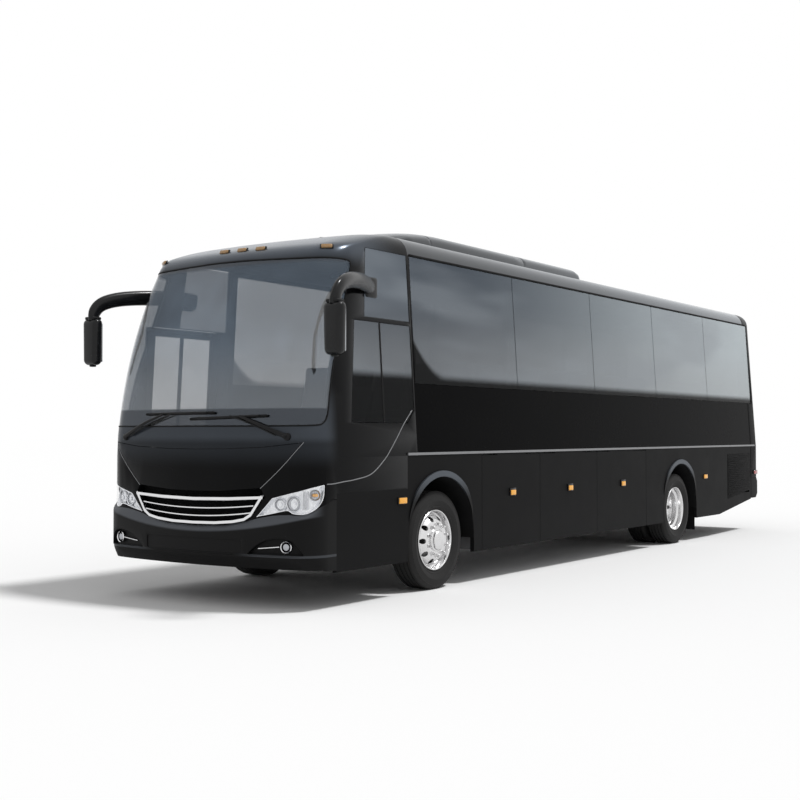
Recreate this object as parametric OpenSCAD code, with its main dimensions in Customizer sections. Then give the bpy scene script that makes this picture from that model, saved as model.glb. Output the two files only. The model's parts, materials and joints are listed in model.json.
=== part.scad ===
// Single-deck touring coach: luggage bays below the floor, twin rear wheels, roof air unit.
// Millimetres. X to the left of the coach, front towards minus Y, Z up from the road.

/* [Overall] */
// Length over the bumpers
body_len = 11700; // [11600:50:12000]
// Width of the body below the waist
body_w = 2500; // [2460:10:2550]
// Height of the roof at its crown
roof_z = 3440; // [3400:10:3480]
// Underside of the skirts above the road
skirt_z = 320; // [290:10:350]
// Waist, where the wall starts to lean in
belt_z = 1310; // [1290:10:1340]
// Lean of the wall above the waist, in degrees
lean_deg = 3.64; // [3.2:0.05:4]
// Radius of the roof shoulder
shoulder_r = 200; // [170:10:230]
// Radius of the roof crown
crown_r = 16000; // [12000:500:20000]

/* [Axles] */
// Front bumper face to the front axle
front_overhang = 2190; // [2150:10:2250]
// Front axle to rear axle
wheelbase = 6144; // [6100:10:6200]
// Outer diameter of a tyre
tyre_d = 958; // [930:2:970]
// Section width of a tyre
tyre_w = 276; // [260:2:284]
// Side of the body to the outer tyre face
tyre_inset = 50; // [40:2:70]
// Twin tyres, centre to centre
twin_pitch = 312; // [306:2:330]
// Steering lock to each side, in degrees
steer_deg = 38; // [30:1:40]

/* [Front and rear] */
// Plan radius of the front
nose_r = 5500; // [4500:100:7000]
// Plan radius of the front corners
corner_r = 420; // [380:10:440]
// Bumpers beyond the body panels
bumper_proud = 50; // [40:5:70]
// Lean of the windshield at its foot, in degrees
screen_lean_low = 10; // [8:0.5:12]
// Lean of the windshield at its head, in degrees
screen_lean_top = 28; // [26:0.5:30]
// Plan radius of the rear panel
tail_r = 16000; // [14000:500:20000]
// Plan radius of the rear corners
tail_corner_r = 150; // [130:5:160]

/* [Walls] */
// Thickness of the walls, roof and front mask
wall_t = 55; // [50:1:60]
// Thickness of the doors and skirts
skirt_t = 45; // [38:1:48]
// Thickness of the glass
glass_t = 8; // [6:0.5:10]
// Gap round each door and lid
door_gap = 6; // [5:0.5:8]
// Travel of the luggage doors, in degrees
bay_open_deg = 85; // [70:1:88]

/* [Hidden] */
// Run of a cut past the solid
over = 40;
// Play between seated pieces
seat = 0.3;
// Smoothness of round pieces
$fn = 48;
half_w = body_w / 2;
front_y = -body_len / 2;
rear_y = body_len / 2;
fa = front_y + front_overhang;
ra = fa + wheelbase;
axle_z = tyre_d / 2;
mask_y = front_y + bumper_proud;
tail_y = rear_y - bumper_proud;

// Front windshield arc, then two arcs over the forehead to the roof
screen_z0 = 1500;
screen_z1 = 3120;
brow_r = 450;
brow_lean = 70;
roof_lean = 88;
screen_r = (screen_z1 - screen_z0) / (sin(screen_lean_top) - sin(screen_lean_low));
screen_y1 = mask_y + screen_r * (cos(screen_lean_low) - cos(screen_lean_top));
brow_z = screen_z1 + brow_r * (sin(brow_lean) - sin(screen_lean_top));
brow_y = screen_y1 + brow_r * (cos(screen_lean_top) - cos(brow_lean));
crest_r = (roof_z - brow_z) / (sin(roof_lean) - sin(brow_lean));
function screen_deg(z) = asin(sin(screen_lean_low) + (z - screen_z0) / screen_r);
function brow_deg(z) = asin(sin(screen_lean_top) + (z - screen_z1) / brow_r);
function crest_deg(z) = asin(min(1, sin(brow_lean) + (z - brow_z) / crest_r));
function nose_y(z) =
    z <= screen_z0 ? mask_y
    : z <= screen_z1 ? mask_y + screen_r * (cos(screen_lean_low) - cos(screen_deg(z)))
    : z <= brow_z ? screen_y1 + brow_r * (cos(screen_lean_top) - cos(brow_deg(z)))
    : brow_y + crest_r * (cos(brow_lean) - cos(crest_deg(z)));

// Rear panel, upright and then leaning a little forward, rounded into the roof
tail_z0 = 1500;
tail_lean = 1.2;
tail_top_r = 170;
tail_z1 = roof_z - tail_top_r;
function tail_depth(z) =
    z <= tail_z0 ? 0
    : z <= tail_z1 ? (z - tail_z0) * tan(tail_lean)
    : (tail_z1 - tail_z0) * tan(tail_lean)
        + tail_top_r - sqrt(max(0, pow(tail_top_r, 2) - pow(z - tail_z1, 2)));

// Roof section: wall line, shoulder arc and crown arc, all offset inward by d
wall_n = [cos(lean_deg), sin(lean_deg)];
wall_u = [-sin(lean_deg), cos(lean_deg)];
wall_c = wall_n[0] * half_w + wall_n[1] * belt_z;
crown_zc = roof_z - crown_r;
to_crown = (wall_c - shoulder_r) * wall_n - [0, crown_zc];
along = to_crown * wall_u;
run = sqrt(pow(along, 2) - to_crown * to_crown + pow(crown_r - shoulder_r, 2)) - along;
shoulder_c = (wall_c - shoulder_r) * wall_n + run * wall_u;
crown_deg = atan(shoulder_c[0] / (shoulder_c[1] - crown_zc));
shoulder_steps = 5;
crown_shares = [0.7, 0.4, 0.08];
function wall_x(z) = z <= belt_z ? half_w : half_w - (z - belt_z) * tan(lean_deg);
function shoulder_pt(k, d) =
    let (a = lean_deg + (90 - crown_deg - lean_deg) * k / shoulder_steps)
    shoulder_c + (shoulder_r - d) * [cos(a), sin(a)];
function crown_pt(share, d) =
    let (a = crown_deg * share)
    [(crown_r - d) * sin(a), crown_zc + (crown_r - d) * cos(a)];
function roof_half(d) = concat(
    [for (k = [0 : shoulder_steps]) shoulder_pt(k, d)],
    [for (s = crown_shares) crown_pt(s, d)]);
eave_z = shoulder_pt(0, 0)[1];

// Rows of an end shell as [half width, height, face, offset]
cap_z0 = 700;
screen_rows = 6;
function nose_rows(d) = concat(
    [for (z = [cap_z0, belt_z, screen_z0]) [wall_x(z) - d, z, nose_y(z) + d, d]],
    [for (k = [1 : screen_rows])
        let (z = screen_z0 + (screen_z1 - screen_z0) * k / screen_rows)
        [wall_x(z) - d, z, nose_y(z) + d, d]],
    [for (k = [0 : shoulder_steps]) let (p = shoulder_pt(k, d))
        [p[0], p[1], nose_y(shoulder_pt(k, 0)[1]) + d, d]],
    [for (s = crown_shares) let (p = crown_pt(s, d))
        [p[0], p[1], nose_y(crown_pt(s, 0)[1]) + d, d]]);
tail_cap_z0 = 820;
function tail_rows(d) = concat(
    [for (z = [tail_cap_z0, belt_z, tail_z0, (tail_z0 + eave_z) / 2])
        [wall_x(z) - d, z, tail_depth(z) - tail_y + d, d]],
    [for (k = [0 : shoulder_steps]) let (p = shoulder_pt(k, d))
        [p[0], p[1], tail_depth(shoulder_pt(k, 0)[1]) - tail_y + d, d]],
    [for (s = crown_shares) let (p = crown_pt(s, d))
        [p[0], p[1], tail_depth(crown_pt(s, 0)[1]) - tail_y + d, d]]);
function band_rows(zs, d) = [for (z = zs) [wall_x(z) - d, z, nose_y(z) + d, d]];
function tail_band_rows(zs, d) = [for (z = zs) [wall_x(z) - d, z, tail_depth(z) - tail_y + d, d]];

// Turn stations across an end, in degrees from straight ahead; past 90 along the side
side_turn = 100;
turns = [0, 3, 6, 9, 18, 30, 42, 54, 66, 78, 90, side_turn];
corner_share = 0.6;
function both_ways(t) = concat([for (k = [len(t) - 1 : -1 : 1]) -t[k]], t);
function end_pt(row, s, r, c, y_end) =
    let (w = row[0],
        ro = r - row[3],
        co = min(c - row[3], w * corner_share),
        yc = row[2] + ro - sqrt(pow(ro - co, 2) - pow(w - co, 2)),
        a = min(abs(s), 90),
        x = a <= asin((w - co) / (ro - co)) ? ro * sin(a) : w - co + co * sin(a),
        y = a <= asin((w - co) / (ro - co)) ? row[2] + ro - ro * cos(a) : yc - co * cos(a),
        side_share = max(0, abs(s) - 90) / (side_turn - 90))
    [sign(s) * x, y + (y_end - y) * side_share, row[1]];

// Closed shell between two sets of rows
module shell(outer, inner, ss, r, c, y_end, roofed = false) {
    m = len(outer);
    n = len(ss);
    k = m * n;
    points = concat(
        [for (row = outer) for (s = ss) end_pt(row, s, r, c, y_end)],
        [for (row = inner) for (s = ss) end_pt(row, s, r, c, y_end)]);
    skins = [for (i = [0 : m - 2]) for (j = [0 : n - 2])
        let (a = i * n + j, b = a + 1, e = a + n, f = e + 1)
        each [[a, e, f], [a, f, b], [k + a, k + f, k + e], [k + a, k + b, k + f]]];
    foot = [for (j = [0 : n - 2]) each [[j, j + 1, k + j + 1], [j, k + j + 1, k + j]]];
    ends = [for (i = [0 : m - 2])
        let (a = i * n, e = a + n, b = a + n - 1, f = b + n)
        each [[e, a, k + a], [e, k + a, k + e], [b, f, k + f], [b, k + f, k + b]]];
    t = (m - 1) * n;
    head = roofed
        ? [[for (j = [n - 1 : -1 : 0]) t + j], [for (j = [0 : n - 1]) k + t + j],
            [t + n - 1, t, k + t], [t + n - 1, k + t, k + t + n - 1]]
        : [for (j = [0 : n - 2]) each [[t + j + 1, t + j, k + t + j], [t + j + 1, k + t + j, k + t + j + 1]]];
    polyhedron(points, concat(skins, foot, ends, head));
}

// Extrusions of an outline given in XZ, in YZ and in XY
module along_y(y0, y1) {
    translate([0, y1, 0]) rotate([90, 0, 0]) linear_extrude(y1 - y0) children();
}
module along_x(x0, x1) {
    translate([x0, 0, 0]) rotate([90, 0, 90]) linear_extrude(x1 - x0) children();
}
module block(a, b) {
    translate(a) cube(b - a);
}
module both() {
    children();
    mirror([1, 0, 0]) children();
}
// Wall section between two heights and two depths
module wall_2d(z0, z1, d0, d1) {
    bend = z0 < belt_z && z1 > belt_z;
    polygon(concat(
        [[wall_x(z0) - d0, z0]],
        bend ? [[half_w - d0, belt_z]] : [],
        [[wall_x(z1) - d0, z1], [wall_x(z1) - d1, z1]],
        bend ? [[half_w - d1, belt_z]] : [],
        [[wall_x(z0) - d1, z0]]));
}

// Seams along the side, measured from the front axle
front_runs = [-430, -600, -1700];
cap_seam = fa + front_runs[0];
lower_seam = fa + front_runs[1];
bumper_seam = fa + front_runs[2];
bay_seams = [for (y = [767, 2032, 3492, 4967]) fa + y];
tail_runs = [400, 390];
tail_seam = tail_y - tail_runs[0];
tail_bumper_seam = tail_y - tail_runs[1];
pane_seams = [for (y = [-405, 1610, 3540, 5430, 7330, 9210]) fa + y];

// Side windows
win_z0 = 1990;
win_drop = 8;
win_z1 = eave_z - win_drop;
win_frame = 45;
pane_gap = 10;

module roof() color([0.03, 0.03, 0.035]) {
    outer = roof_half(0);
    inner = roof_half(wall_t);
    n = len(outer);
    along_y(cap_seam, tail_seam) polygon(concat(
        outer,
        [for (k = [n - 1 : -1 : 0]) [-outer[k][0], outer[k][1]]],
        [for (k = [0 : n - 1]) [-inner[k][0], inner[k][1]]],
        [for (k = [n - 1 : -1 : 0]) inner[k]]));
}

// Hinge of a luggage door: axis on the outer face, just under the waist
bay_pin_r = 3.5;
bay_knuckle_r = 6;
bay_drop = 5;
bay_axis_z = belt_z - bay_drop;
bay_pin_share = 0.5;
bay_step = 8;
bay_top_z = bay_axis_z - bay_pin_r / 2;

module side_wall() {
    difference() {
        along_y(cap_seam, tail_seam) polygon([
            [half_w, belt_z],
            [wall_x(eave_z), eave_z],
            shoulder_pt(0, wall_t),
            [half_w - wall_t, belt_z]]);
        window_cuts();
    }
    for (k = [0 : len(bay_seams) - 2])
        bay_knuckles(bay_seams[k], bay_seams[k + 1]);
}
// Pocket and openings of the side windows
module window_cuts() {
    along_y(pane_seams[0], pane_seams[len(pane_seams) - 1])
        wall_2d(win_z0, win_z1, -over, glass_t + seat);
    for (k = [0 : len(pane_seams) - 2])
        along_y(pane_seams[k] + win_frame, pane_seams[k + 1] - win_frame)
            wall_2d(win_z0 + win_frame, win_z1 - win_frame, -over, wall_t + over);
}
// Fixed knuckles at both ends of a luggage door hinge
module bay_knuckles(y0, y1) {
    mid = (y0 + y1) / 2;
    reach = (y1 - y0) * bay_pin_share / 2 + seat;
    knuckle_l = 60;
    for (s = [-1, 1])
        translate([half_w, mid + s * (reach + knuckle_l / 2), bay_axis_z])
            rotate([90, 0, 0]) cylinder(r = bay_knuckle_r, h = knuckle_l, center = true);
}
module side_walls() color([0.03, 0.03, 0.035]) both() side_wall();

module side_panes() {
    for (k = [0 : len(pane_seams) - 2])
        along_y(pane_seams[k] + pane_gap / 2, pane_seams[k + 1] - pane_gap / 2)
            wall_2d(win_z0 + pane_gap / 2, win_z1 - pane_gap / 2, 0, glass_t);
}
module windows() color([0.10, 0.12, 0.14]) {
    both() side_panes();
    quarter_panes();
    rear_pane();
}

// Windshield and its seat in the mask
glass_z0 = 1545;
glass_z1 = 3105;
glass_turn = 62;
screen_t = 10;
screen_lap = 45;
lap_turn = 6;
glass_turns = both_ways([0, 3, 6, 9, 18, 30, 42, 54, glass_turn]);
edge_turn = 0.1;
pane_turns = both_ways([0, 3, 6, 9, 18, 30, 42, 54, glass_turn - edge_turn]);
hole_turns = both_ways([0, 3, 6, 9, 18, 30, 42, glass_turn - lap_turn]);
function levels(z0, z1, n) = [for (k = [0 : n]) z0 + (z1 - z0) * k / n];
module screen_band(z0, z1, ss, d0, d1) {
    zs = levels(z0, z1, screen_rows);
    shell(band_rows(zs, d0), band_rows(zs, d1), ss, nose_r, corner_r, cap_seam);
}

// Driver's window outline on the side, from the front axle
quarter_z0 = 1615;
quarter_z1 = 2540;
quarter_runs = [-1460, -1345, -455];
quarter_front = [fa + quarter_runs[0], fa + quarter_runs[1]];
quarter_back = fa + quarter_runs[2];
quarter_cut = 115;
quarter_lap = 30;
module quarter_2d() {
    polygon([
        [quarter_front[0], quarter_z0],
        [quarter_back - quarter_cut, quarter_z0],
        [quarter_back, quarter_z0 + quarter_cut],
        [quarter_back, quarter_z1],
        [quarter_front[1], quarter_z1]]);
}
// Upper quarter pane above the driver's window and the entry door
upper_z0 = 2575;
upper_z1 = win_z1;
upper_runs = [-1190, -1120];
upper_front = [fa + upper_runs[0], fa + upper_runs[1]];
upper_back = quarter_back;
module upper_2d() {
    polygon([
        [upper_front[0], upper_z0],
        [upper_back, upper_z0],
        [upper_back, upper_z1],
        [upper_front[1], upper_z1]]);
}

// Entry door on the right
entry_runs = [-1600, -606];
entry_y0 = fa + entry_runs[0];
entry_y1 = fa + entry_runs[1];
entry_z0 = 350;
entry_z1 = 2560;
entry_post = 12;
entry_set = 4;
entry_post_y = entry_y0 - entry_post;
entry_axis_y = entry_y0 - entry_set;
entry_pin_r = 6;
entry_knuckle_r = 10;
entry_knuckles_z = [[1160, 1240], [640, 720]];

// Front lamps, grille and flap outlines seen from the front
lamp_in = [[682, 806], [785, 980]];
lamp_top = [1205, 1078];
lamp_out = [1208, 978];
lamp_low = [[1162, 889], [1067, 828], [960, 822]];
module lamp_2d() {
    polygon(concat([lamp_in[0], lamp_in[1], lamp_top, lamp_out], lamp_low));
}
grille_top = [776, 984];
grille_low = [[640, 778], [560, 735], [420, 722]];
module grille_2d() {
    half = concat([grille_top], grille_low);
    n = len(half);
    polygon(concat(half, [for (k = [n - 1 : -1 : 0]) [-half[k][0], half[k][1]]]));
}
flap_top = [[1085, 1425], [700, 1392], [300, 1378]];
flap_low = [730, 1046];
flap_mid = [300, 1012];
module flap_2d() {
    half = concat([[flap_mid[0], flap_mid[1]], flap_low], flap_top);
    n = len(half);
    polygon(concat(half, [for (k = [n - 1 : -1 : 0]) [-half[k][0], half[k][1]]]));
}
recess_d = 42;
face_run = 420;
trim_in = 1;
face_zs = [cap_z0 + trim_in, screen_z0 - trim_in];
module from_front() {
    along_y(front_y - over, front_y + face_run) children();
}

module entry_knuckle(k) {
    z = entry_knuckles_z[k];
    mirror([1, 0, 0]) translate([half_w, entry_axis_y, z[0]])
        cylinder(r = entry_knuckle_r, h = z[1] - z[0]);
}
module front_mask() color([0.03, 0.03, 0.035]) {
    mask_shell();
    entry_knuckle(0);
}
module mask_shell() difference() {
    shell(nose_rows(0), nose_rows(wall_t), both_ways(turns), nose_r, corner_r, cap_seam, true);
    screen_band(glass_z0 - seat, glass_z1 + seat, glass_turns, -over, screen_t + seat);
    screen_band(glass_z0 + screen_lap, glass_z1 - screen_lap, hole_turns, -over, wall_t + over);
    // driver's window and the upper quarter panes
    along_x(half_w / 2, half_w + over) {
        offset_lap() quarter_2d();
    }
    intersection() {
        along_x(half_w / 2, half_w + over) quarter_2d();
        along_y(bumper_seam, cap_seam) wall_2d(quarter_z0, quarter_z1, -over, glass_t + seat);
    }
    both() intersection() {
        along_x(half_w / 2, half_w + over) upper_2d();
        along_y(bumper_seam, cap_seam) wall_2d(upper_z0, upper_z1, -over, glass_t + seat);
    }
    // below the waist the side belongs to the skirts
    block([-half_w - over, bumper_seam, 0], [half_w + over, cap_seam + over, quarter_low_z]);
    block([-half_w - over, lower_seam, 0], [half_w + over, cap_seam + over, belt_z]);
    block([-half_w - over, entry_post_y, 0], [-half_w / 2, entry_y1 + door_gap, entry_z1 + door_gap]);
    // recesses of the lamps, the grille and the flap
    intersection() {
        union() {
            from_front() both() lamp_2d();
            from_front() grille_2d();
            from_front() flap_2d();
        }
        shell(band_rows(face_zs, -over), band_rows(face_zs, recess_d),
            both_ways(turns), nose_r, corner_r, cap_seam);
    }
}
quarter_low_z = 1000;
// Outline brought in by the lap of the glass
module offset_lap() {
    translate([quarter_mid[0], quarter_mid[1]]) scale(lap_share) translate(-quarter_mid) children();
}
quarter_mid = [(quarter_front[0] + quarter_back) / 2, (quarter_z0 + quarter_z1) / 2];
lap_share = 1 - 2 * quarter_lap / (quarter_z1 - quarter_z0);

module windshield() color([0.10, 0.12, 0.14])
    screen_band(glass_z0, glass_z1, pane_turns, 0, screen_t);

module quarter_panes() {
    inset_share = 1 - 2 * pane_gap / (quarter_z1 - quarter_z0) / 2;
    intersection() {
        along_x(half_w / 2, half_w + over)
            translate(quarter_mid) scale(inset_share) translate(-quarter_mid) quarter_2d();
        along_y(bumper_seam, cap_seam) wall_2d(quarter_z0, quarter_z1, 0, glass_t);
    }
    both() intersection() {
        along_x(half_w / 2, half_w + over) upper_pane_2d();
        along_y(bumper_seam, cap_seam) wall_2d(upper_z0, upper_z1, 0, glass_t);
    }
}
module upper_pane_2d() {
    mid = [(upper_front[0] + upper_back) / 2, (upper_z0 + upper_z1) / 2];
    inset_share = 1 - pane_gap / (upper_z1 - upper_z0);
    translate(mid) scale(inset_share) translate(-mid) upper_2d();
}

module front_lamps() color([0.85, 0.87, 0.9]) both() {
    headlamp();
    fog_lamp();
}
module headlamp() intersection() {
    from_front() translate(lamp_mid) scale(lamp_share) translate(-lamp_mid) lamp_2d();
    shell(band_rows(face_zs, -lamp_proud), band_rows(face_zs, recess_d - seat),
        both_ways(turns), nose_r, corner_r, cap_seam);
}
lamp_mid = (lamp_in[0] + lamp_in[1] + lamp_top + lamp_out) / 4;
lamp_share = 0.985;
lamp_proud = 6;

bar_z = [836, 896];
bar_t = 22;
grille_rim_share = 0.93;
grille_proud = 14;
module grille() color([0.8, 0.8, 0.82]) intersection() {
    from_front() {
        mid = [0, (grille_top[1] + grille_low[2][1]) / 2];
        difference() {
            translate(mid) scale(lamp_share) translate(-mid) grille_2d();
            translate(mid) scale(grille_rim_share - pane_gap / grille_top[0]) translate(-mid) grille_2d();
        }
        intersection() {
            translate(mid) scale(lamp_share) translate(-mid) grille_2d();
            for (z = bar_z)
                translate([-half_w, z - bar_t / 2]) square([body_w, bar_t]);
        }
    }
    shell(band_rows(face_zs, -grille_proud), band_rows(face_zs, recess_d - seat),
        both_ways(turns), nose_r, corner_r, cap_seam);
}

module front_flap() color([0.03, 0.03, 0.035]) intersection() {
    from_front() {
        mid = [0, (flap_top[0][1] + flap_mid[1]) / 2];
        translate(mid) scale(lamp_share) translate(-mid) flap_2d();
    }
    shell(band_rows(face_zs, 0), band_rows(face_zs, recess_d - seat),
        both_ways(turns), nose_r, corner_r, cap_seam);
}

// Bumpers as rows of [height, setback of the face from the bumper front]
chin_z = 352;
bumper_rows = [[chin_z, 100], [440, 20], [520, 0], [650, 0], [cap_z0, bumper_proud]];
function bumper_levels(d) = [for (b = bumper_rows) [half_w - d, b[0], front_y + b[1] + d, d]];
fog_at = [972, 552];
fog_r = 58;
fog_box = [[650, 490], [1090, 622]];
plate_box = [[-570, 470], [570, 598]];
pocket_d = 40;
pocket_z = [455, 640];
pocket_turns = [0, 4, 8, 14, 24, 36, 48, 60, 72, 84, 90, side_turn];
module front_bumper() color([0.035, 0.035, 0.04]) resize([body_w, 0, 0]) difference() {
    shell(bumper_levels(0), bumper_levels(wall_t), both_ways(turns), nose_r, corner_r, bumper_seam);
    intersection() {
        from_front() {
            both() translate(fog_box[0]) square(fog_box[1] - fog_box[0]);
            translate(plate_box[0]) square(plate_box[1] - plate_box[0]);
        }
        shell([for (z = pocket_z) [half_w + over, z, front_y - over, -over]],
            [for (z = pocket_z) [half_w - pocket_d, z, front_y + pocket_d, pocket_d]],
            both_ways(pocket_turns), nose_r, corner_r, bumper_seam);
    }
}
module fog_lamp() intersection() {
    from_front() translate(fog_at) circle(r = fog_r);
    shell([for (z = pocket_z) [half_w - lamp_proud, z, front_y + lamp_proud, lamp_proud]],
        [for (z = pocket_z) [half_w - pocket_d + seat, z, front_y + pocket_d - seat, pocket_d - seat]],
        both_ways(pocket_turns), nose_r, corner_r, bumper_seam);
}

// Rear panel, its window and the engine hatch
hatch_w = 1640;
hatch_z0 = 850;
hatch_z1 = 1780;
rear_win_z0 = 2060;
rear_win_z1 = 3020;
rear_win_turn = 3.45;
rear_lap_turn = 0.17;
rear_edge_turn = 0.01;
tail_turns = [0, 0.9, 1.8, 2.7, 3.8, 20, 40, 60, 80, 90, side_turn];
pane_steps = [0, 0.7, 1.4, 2.1, 2.8];
rear_turns = both_ways(concat(pane_steps, [rear_win_turn]));
rear_pane_turns = both_ways(concat(pane_steps, [rear_win_turn - rear_edge_turn]));
rear_hole_turns = both_ways(concat(pane_steps, [rear_win_turn - rear_lap_turn]));
module to_rear() {
    mirror([0, 1, 0]) children();
}
module rear_band(z0, z1, ss, d0, d1) {
    zs = levels(z0, z1, 2);
    to_rear() shell(tail_band_rows(zs, d0), tail_band_rows(zs, d1), ss, tail_r, tail_corner_r, -tail_seam);
}
module hatch_cut(gap) {
    block([-hatch_w / 2 - gap, tail_y - face_run / 2, hatch_z0 - gap],
        [hatch_w / 2 + gap, rear_y + over, hatch_z1 + gap]);
}
module rear_panel() color([0.03, 0.03, 0.035]) resize([body_w, 0, 0]) {
    rear_shell();
    hatch_knuckles(hatch_knuckle_r);
}
module rear_shell() difference() {
    to_rear() shell(tail_rows(0), tail_rows(wall_t), both_ways(tail_turns), tail_r, tail_corner_r,
        -tail_seam, true);
    rear_band(rear_win_z0, rear_win_z1, rear_turns, -over, screen_t + seat);
    rear_band(rear_win_z0 + screen_lap, rear_win_z1 - screen_lap, rear_hole_turns, -over, wall_t + over);
    hatch_cut(door_gap);
    both() window_cuts();
    // tail lamp pockets
    intersection() {
        tail_lamp_boxes(0);
        rear_band(tail_cap_z0 + trim_in, rear_win_z0 - over, both_ways(tail_turns), -over, recess_d);
    }
}
tail_lamp_x = [900, 1120];
tail_lamp_z = [1000, 1560];
tail_lamp_gap = 2;
module tail_lamp_boxes(in) {
    both() block([tail_lamp_x[0] + in, tail_seam, tail_lamp_z[0] + in],
        [tail_lamp_x[1] - in, rear_y + over, tail_lamp_z[1] - in]);
}
module tail_lamps() color([0.6, 0.03, 0.03]) intersection() {
    tail_lamp_boxes(tail_lamp_gap);
    rear_band(tail_cap_z0 + trim_in, rear_win_z0 - over, both_ways(tail_turns), -lamp_proud, recess_d);
}
module rear_pane()
    rear_band(rear_win_z0 + seat, rear_win_z1 - seat, rear_pane_turns, 0, screen_t);
hatch_pin_r = 4;
hatch_knuckle_r = 8;
hatch_pin_l = 500;
hatch_knuckle_l = 60;
hatch_set = [4, 1];
hatch_axis = [tail_y - tail_depth(hatch_z1) - hatch_set[0], hatch_z1 + hatch_set[1]];
module hatch_knuckles(r) {
    for (s = [-1, 1])
        translate([s * (hatch_pin_l / 2 + seat + hatch_knuckle_l / 2), hatch_axis[0], hatch_axis[1]])
            rotate([0, 90, 0]) cylinder(r = r, h = hatch_knuckle_l, center = true);
}
module engine_hatch() color([0.03, 0.03, 0.035]) {
    difference() {
        intersection() {
            hatch_cut(0);
            rear_band(tail_cap_z0 + trim_in, rear_win_z0 - over, both_ways(tail_turns), 0, skirt_t);
        }
        hatch_notches();
    }
    translate([0, hatch_axis[0], hatch_axis[1]])
        rotate([0, 90, 0]) cylinder(r = hatch_pin_r, h = hatch_pin_l, center = true);
}
module hatch_notches() {
    notch_h = 12;
    for (s = [-1, 1])
        translate([s * (hatch_pin_l / 2 + seat + hatch_knuckle_l / 2), hatch_axis[0], hatch_z1])
            cube([hatch_knuckle_l + 2 * door_gap, 4 * over, 2 * notch_h], center = true);
}

tail_bumper_rows = [[500, 70], [570, 0], [760, 0], [tail_cap_z0, bumper_proud]];
function tail_bumper_levels(d) = [for (b = tail_bumper_rows) [half_w - d, b[0], b[1] - rear_y + d, d]];
module rear_bumper() color([0.035, 0.035, 0.04])
    to_rear() shell(tail_bumper_levels(0), tail_bumper_levels(wall_t), both_ways(tail_turns),
        tail_r, tail_corner_r, -tail_bumper_seam);

// Skirts, arches and luggage doors
arch_r = 606;
arch_lift = 15;
arch_z = axle_z + arch_lift;
flare_w = 58;
flare_t = 18;
flare_low_z = 720;
kink_run = 7671;
tail_kink = fa + kink_run;
tail_rise = 170;
vent_runs = [8030, 9000];
vent_y = [fa + vent_runs[0], fa + vent_runs[1]];
vent_z = [600, 1205];
vent_slats = 9;
vent_slat_share = 0.55;
module arch_2d(y) {
    translate([y, arch_z]) circle(r = arch_r);
    translate([y - arch_r, 0]) square([2 * arch_r, arch_z]);
}
module rear_skirt_2d() {
    polygon([
        [bay_seams[3] + door_gap / 2, skirt_z],
        [tail_kink, skirt_z],
        [tail_bumper_seam, skirt_z + tail_rise],
        [tail_bumper_seam, tail_cap_z0],
        [tail_seam, tail_cap_z0],
        [tail_seam, belt_z],
        [bay_seams[3] + door_gap / 2, belt_z]]);
}
module vent_2d() {
    pitch = (vent_z[1] - vent_z[0]) / vent_slats;
    for (k = [0 : vent_slats - 1])
        translate([vent_y[0], vent_z[0] + k * pitch]) square([vent_y[1] - vent_y[0], pitch * vent_slat_share]);
}
module skirts(front_panel) {
    along_x(half_w - skirt_t, half_w) {
        if (front_panel)
            translate([bumper_seam, skirt_z]) square([lower_seam - bumper_seam, quarter_low_z - skirt_z]);
        else
            translate([bumper_seam, skirt_z]) square([entry_post_y - bumper_seam, quarter_low_z - skirt_z]);
        difference() {
            translate([lower_seam, skirt_z]) square([bay_seams[0] - door_gap / 2 - lower_seam, belt_z - skirt_z]);
            arch_2d(fa);
        }
        difference() {
            rear_skirt_2d();
            arch_2d(ra);
            vent_2d();
        }
    }
}
module skirt_panels() color([0.04, 0.04, 0.045]) {
    skirts(true);
    mirror([1, 0, 0]) skirts(false);
    entry_knuckle(1);
}

module arch_flares() color([0.05, 0.05, 0.055]) both()
    for (y = [fa, ra])
        along_x(half_w, half_w + flare_t) intersection() {
            difference() {
                translate([y, arch_z]) circle(r = arch_r + flare_w);
                translate([y, arch_z]) circle(r = arch_r);
            }
            translate([y - 2 * arch_r, flare_low_z]) square([2 * 2 * arch_r, 2 * arch_r]);
        }
strip_h = 24;
strip_t = 10;
strip_lift = 4;
strip_run = 9246;
module belt_strips() color([0.6, 0.6, 0.62]) both()
    along_y(lower_seam, fa + strip_run) wall_2d(belt_z + strip_lift, belt_z + strip_lift + strip_h, -strip_t, 0);

marker_box = [60, 18, 34];
module bay_door(k) {
    y0 = bay_seams[k] + door_gap / 2;
    y1 = bay_seams[k + 1] - door_gap / 2;
    mid = (bay_seams[k] + bay_seams[k + 1]) / 2;
    reach = (bay_seams[k + 1] - bay_seams[k]) * bay_pin_share / 2;
    along_x(half_w - skirt_t, half_w) {
        translate([y0, skirt_z]) square([y1 - y0, bay_top_z - bay_step - skirt_z]);
        translate([mid - reach, skirt_z]) square([2 * reach, bay_top_z - skirt_z]);
    }
    translate([half_w, mid, bay_axis_z])
        rotate([90, 0, 0]) cylinder(r = bay_pin_r, h = 2 * reach, center = true);
    translate([half_w, mid, marker_z]) cube([marker_box[1], marker_box[0], marker_box[2]], center = true);
}
marker_z = 895;

module luggage_door_left_1() color([0.04, 0.04, 0.045]) bay_door(0);
module luggage_door_left_2() color([0.04, 0.04, 0.045]) bay_door(1);
module luggage_door_left_3() color([0.04, 0.04, 0.045]) bay_door(2);
module luggage_door_right_1() color([0.04, 0.04, 0.045]) mirror([1, 0, 0]) bay_door(0);
module luggage_door_right_2() color([0.04, 0.04, 0.045]) mirror([1, 0, 0]) bay_door(1);
module luggage_door_right_3() color([0.04, 0.04, 0.045]) mirror([1, 0, 0]) bay_door(2);

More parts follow.
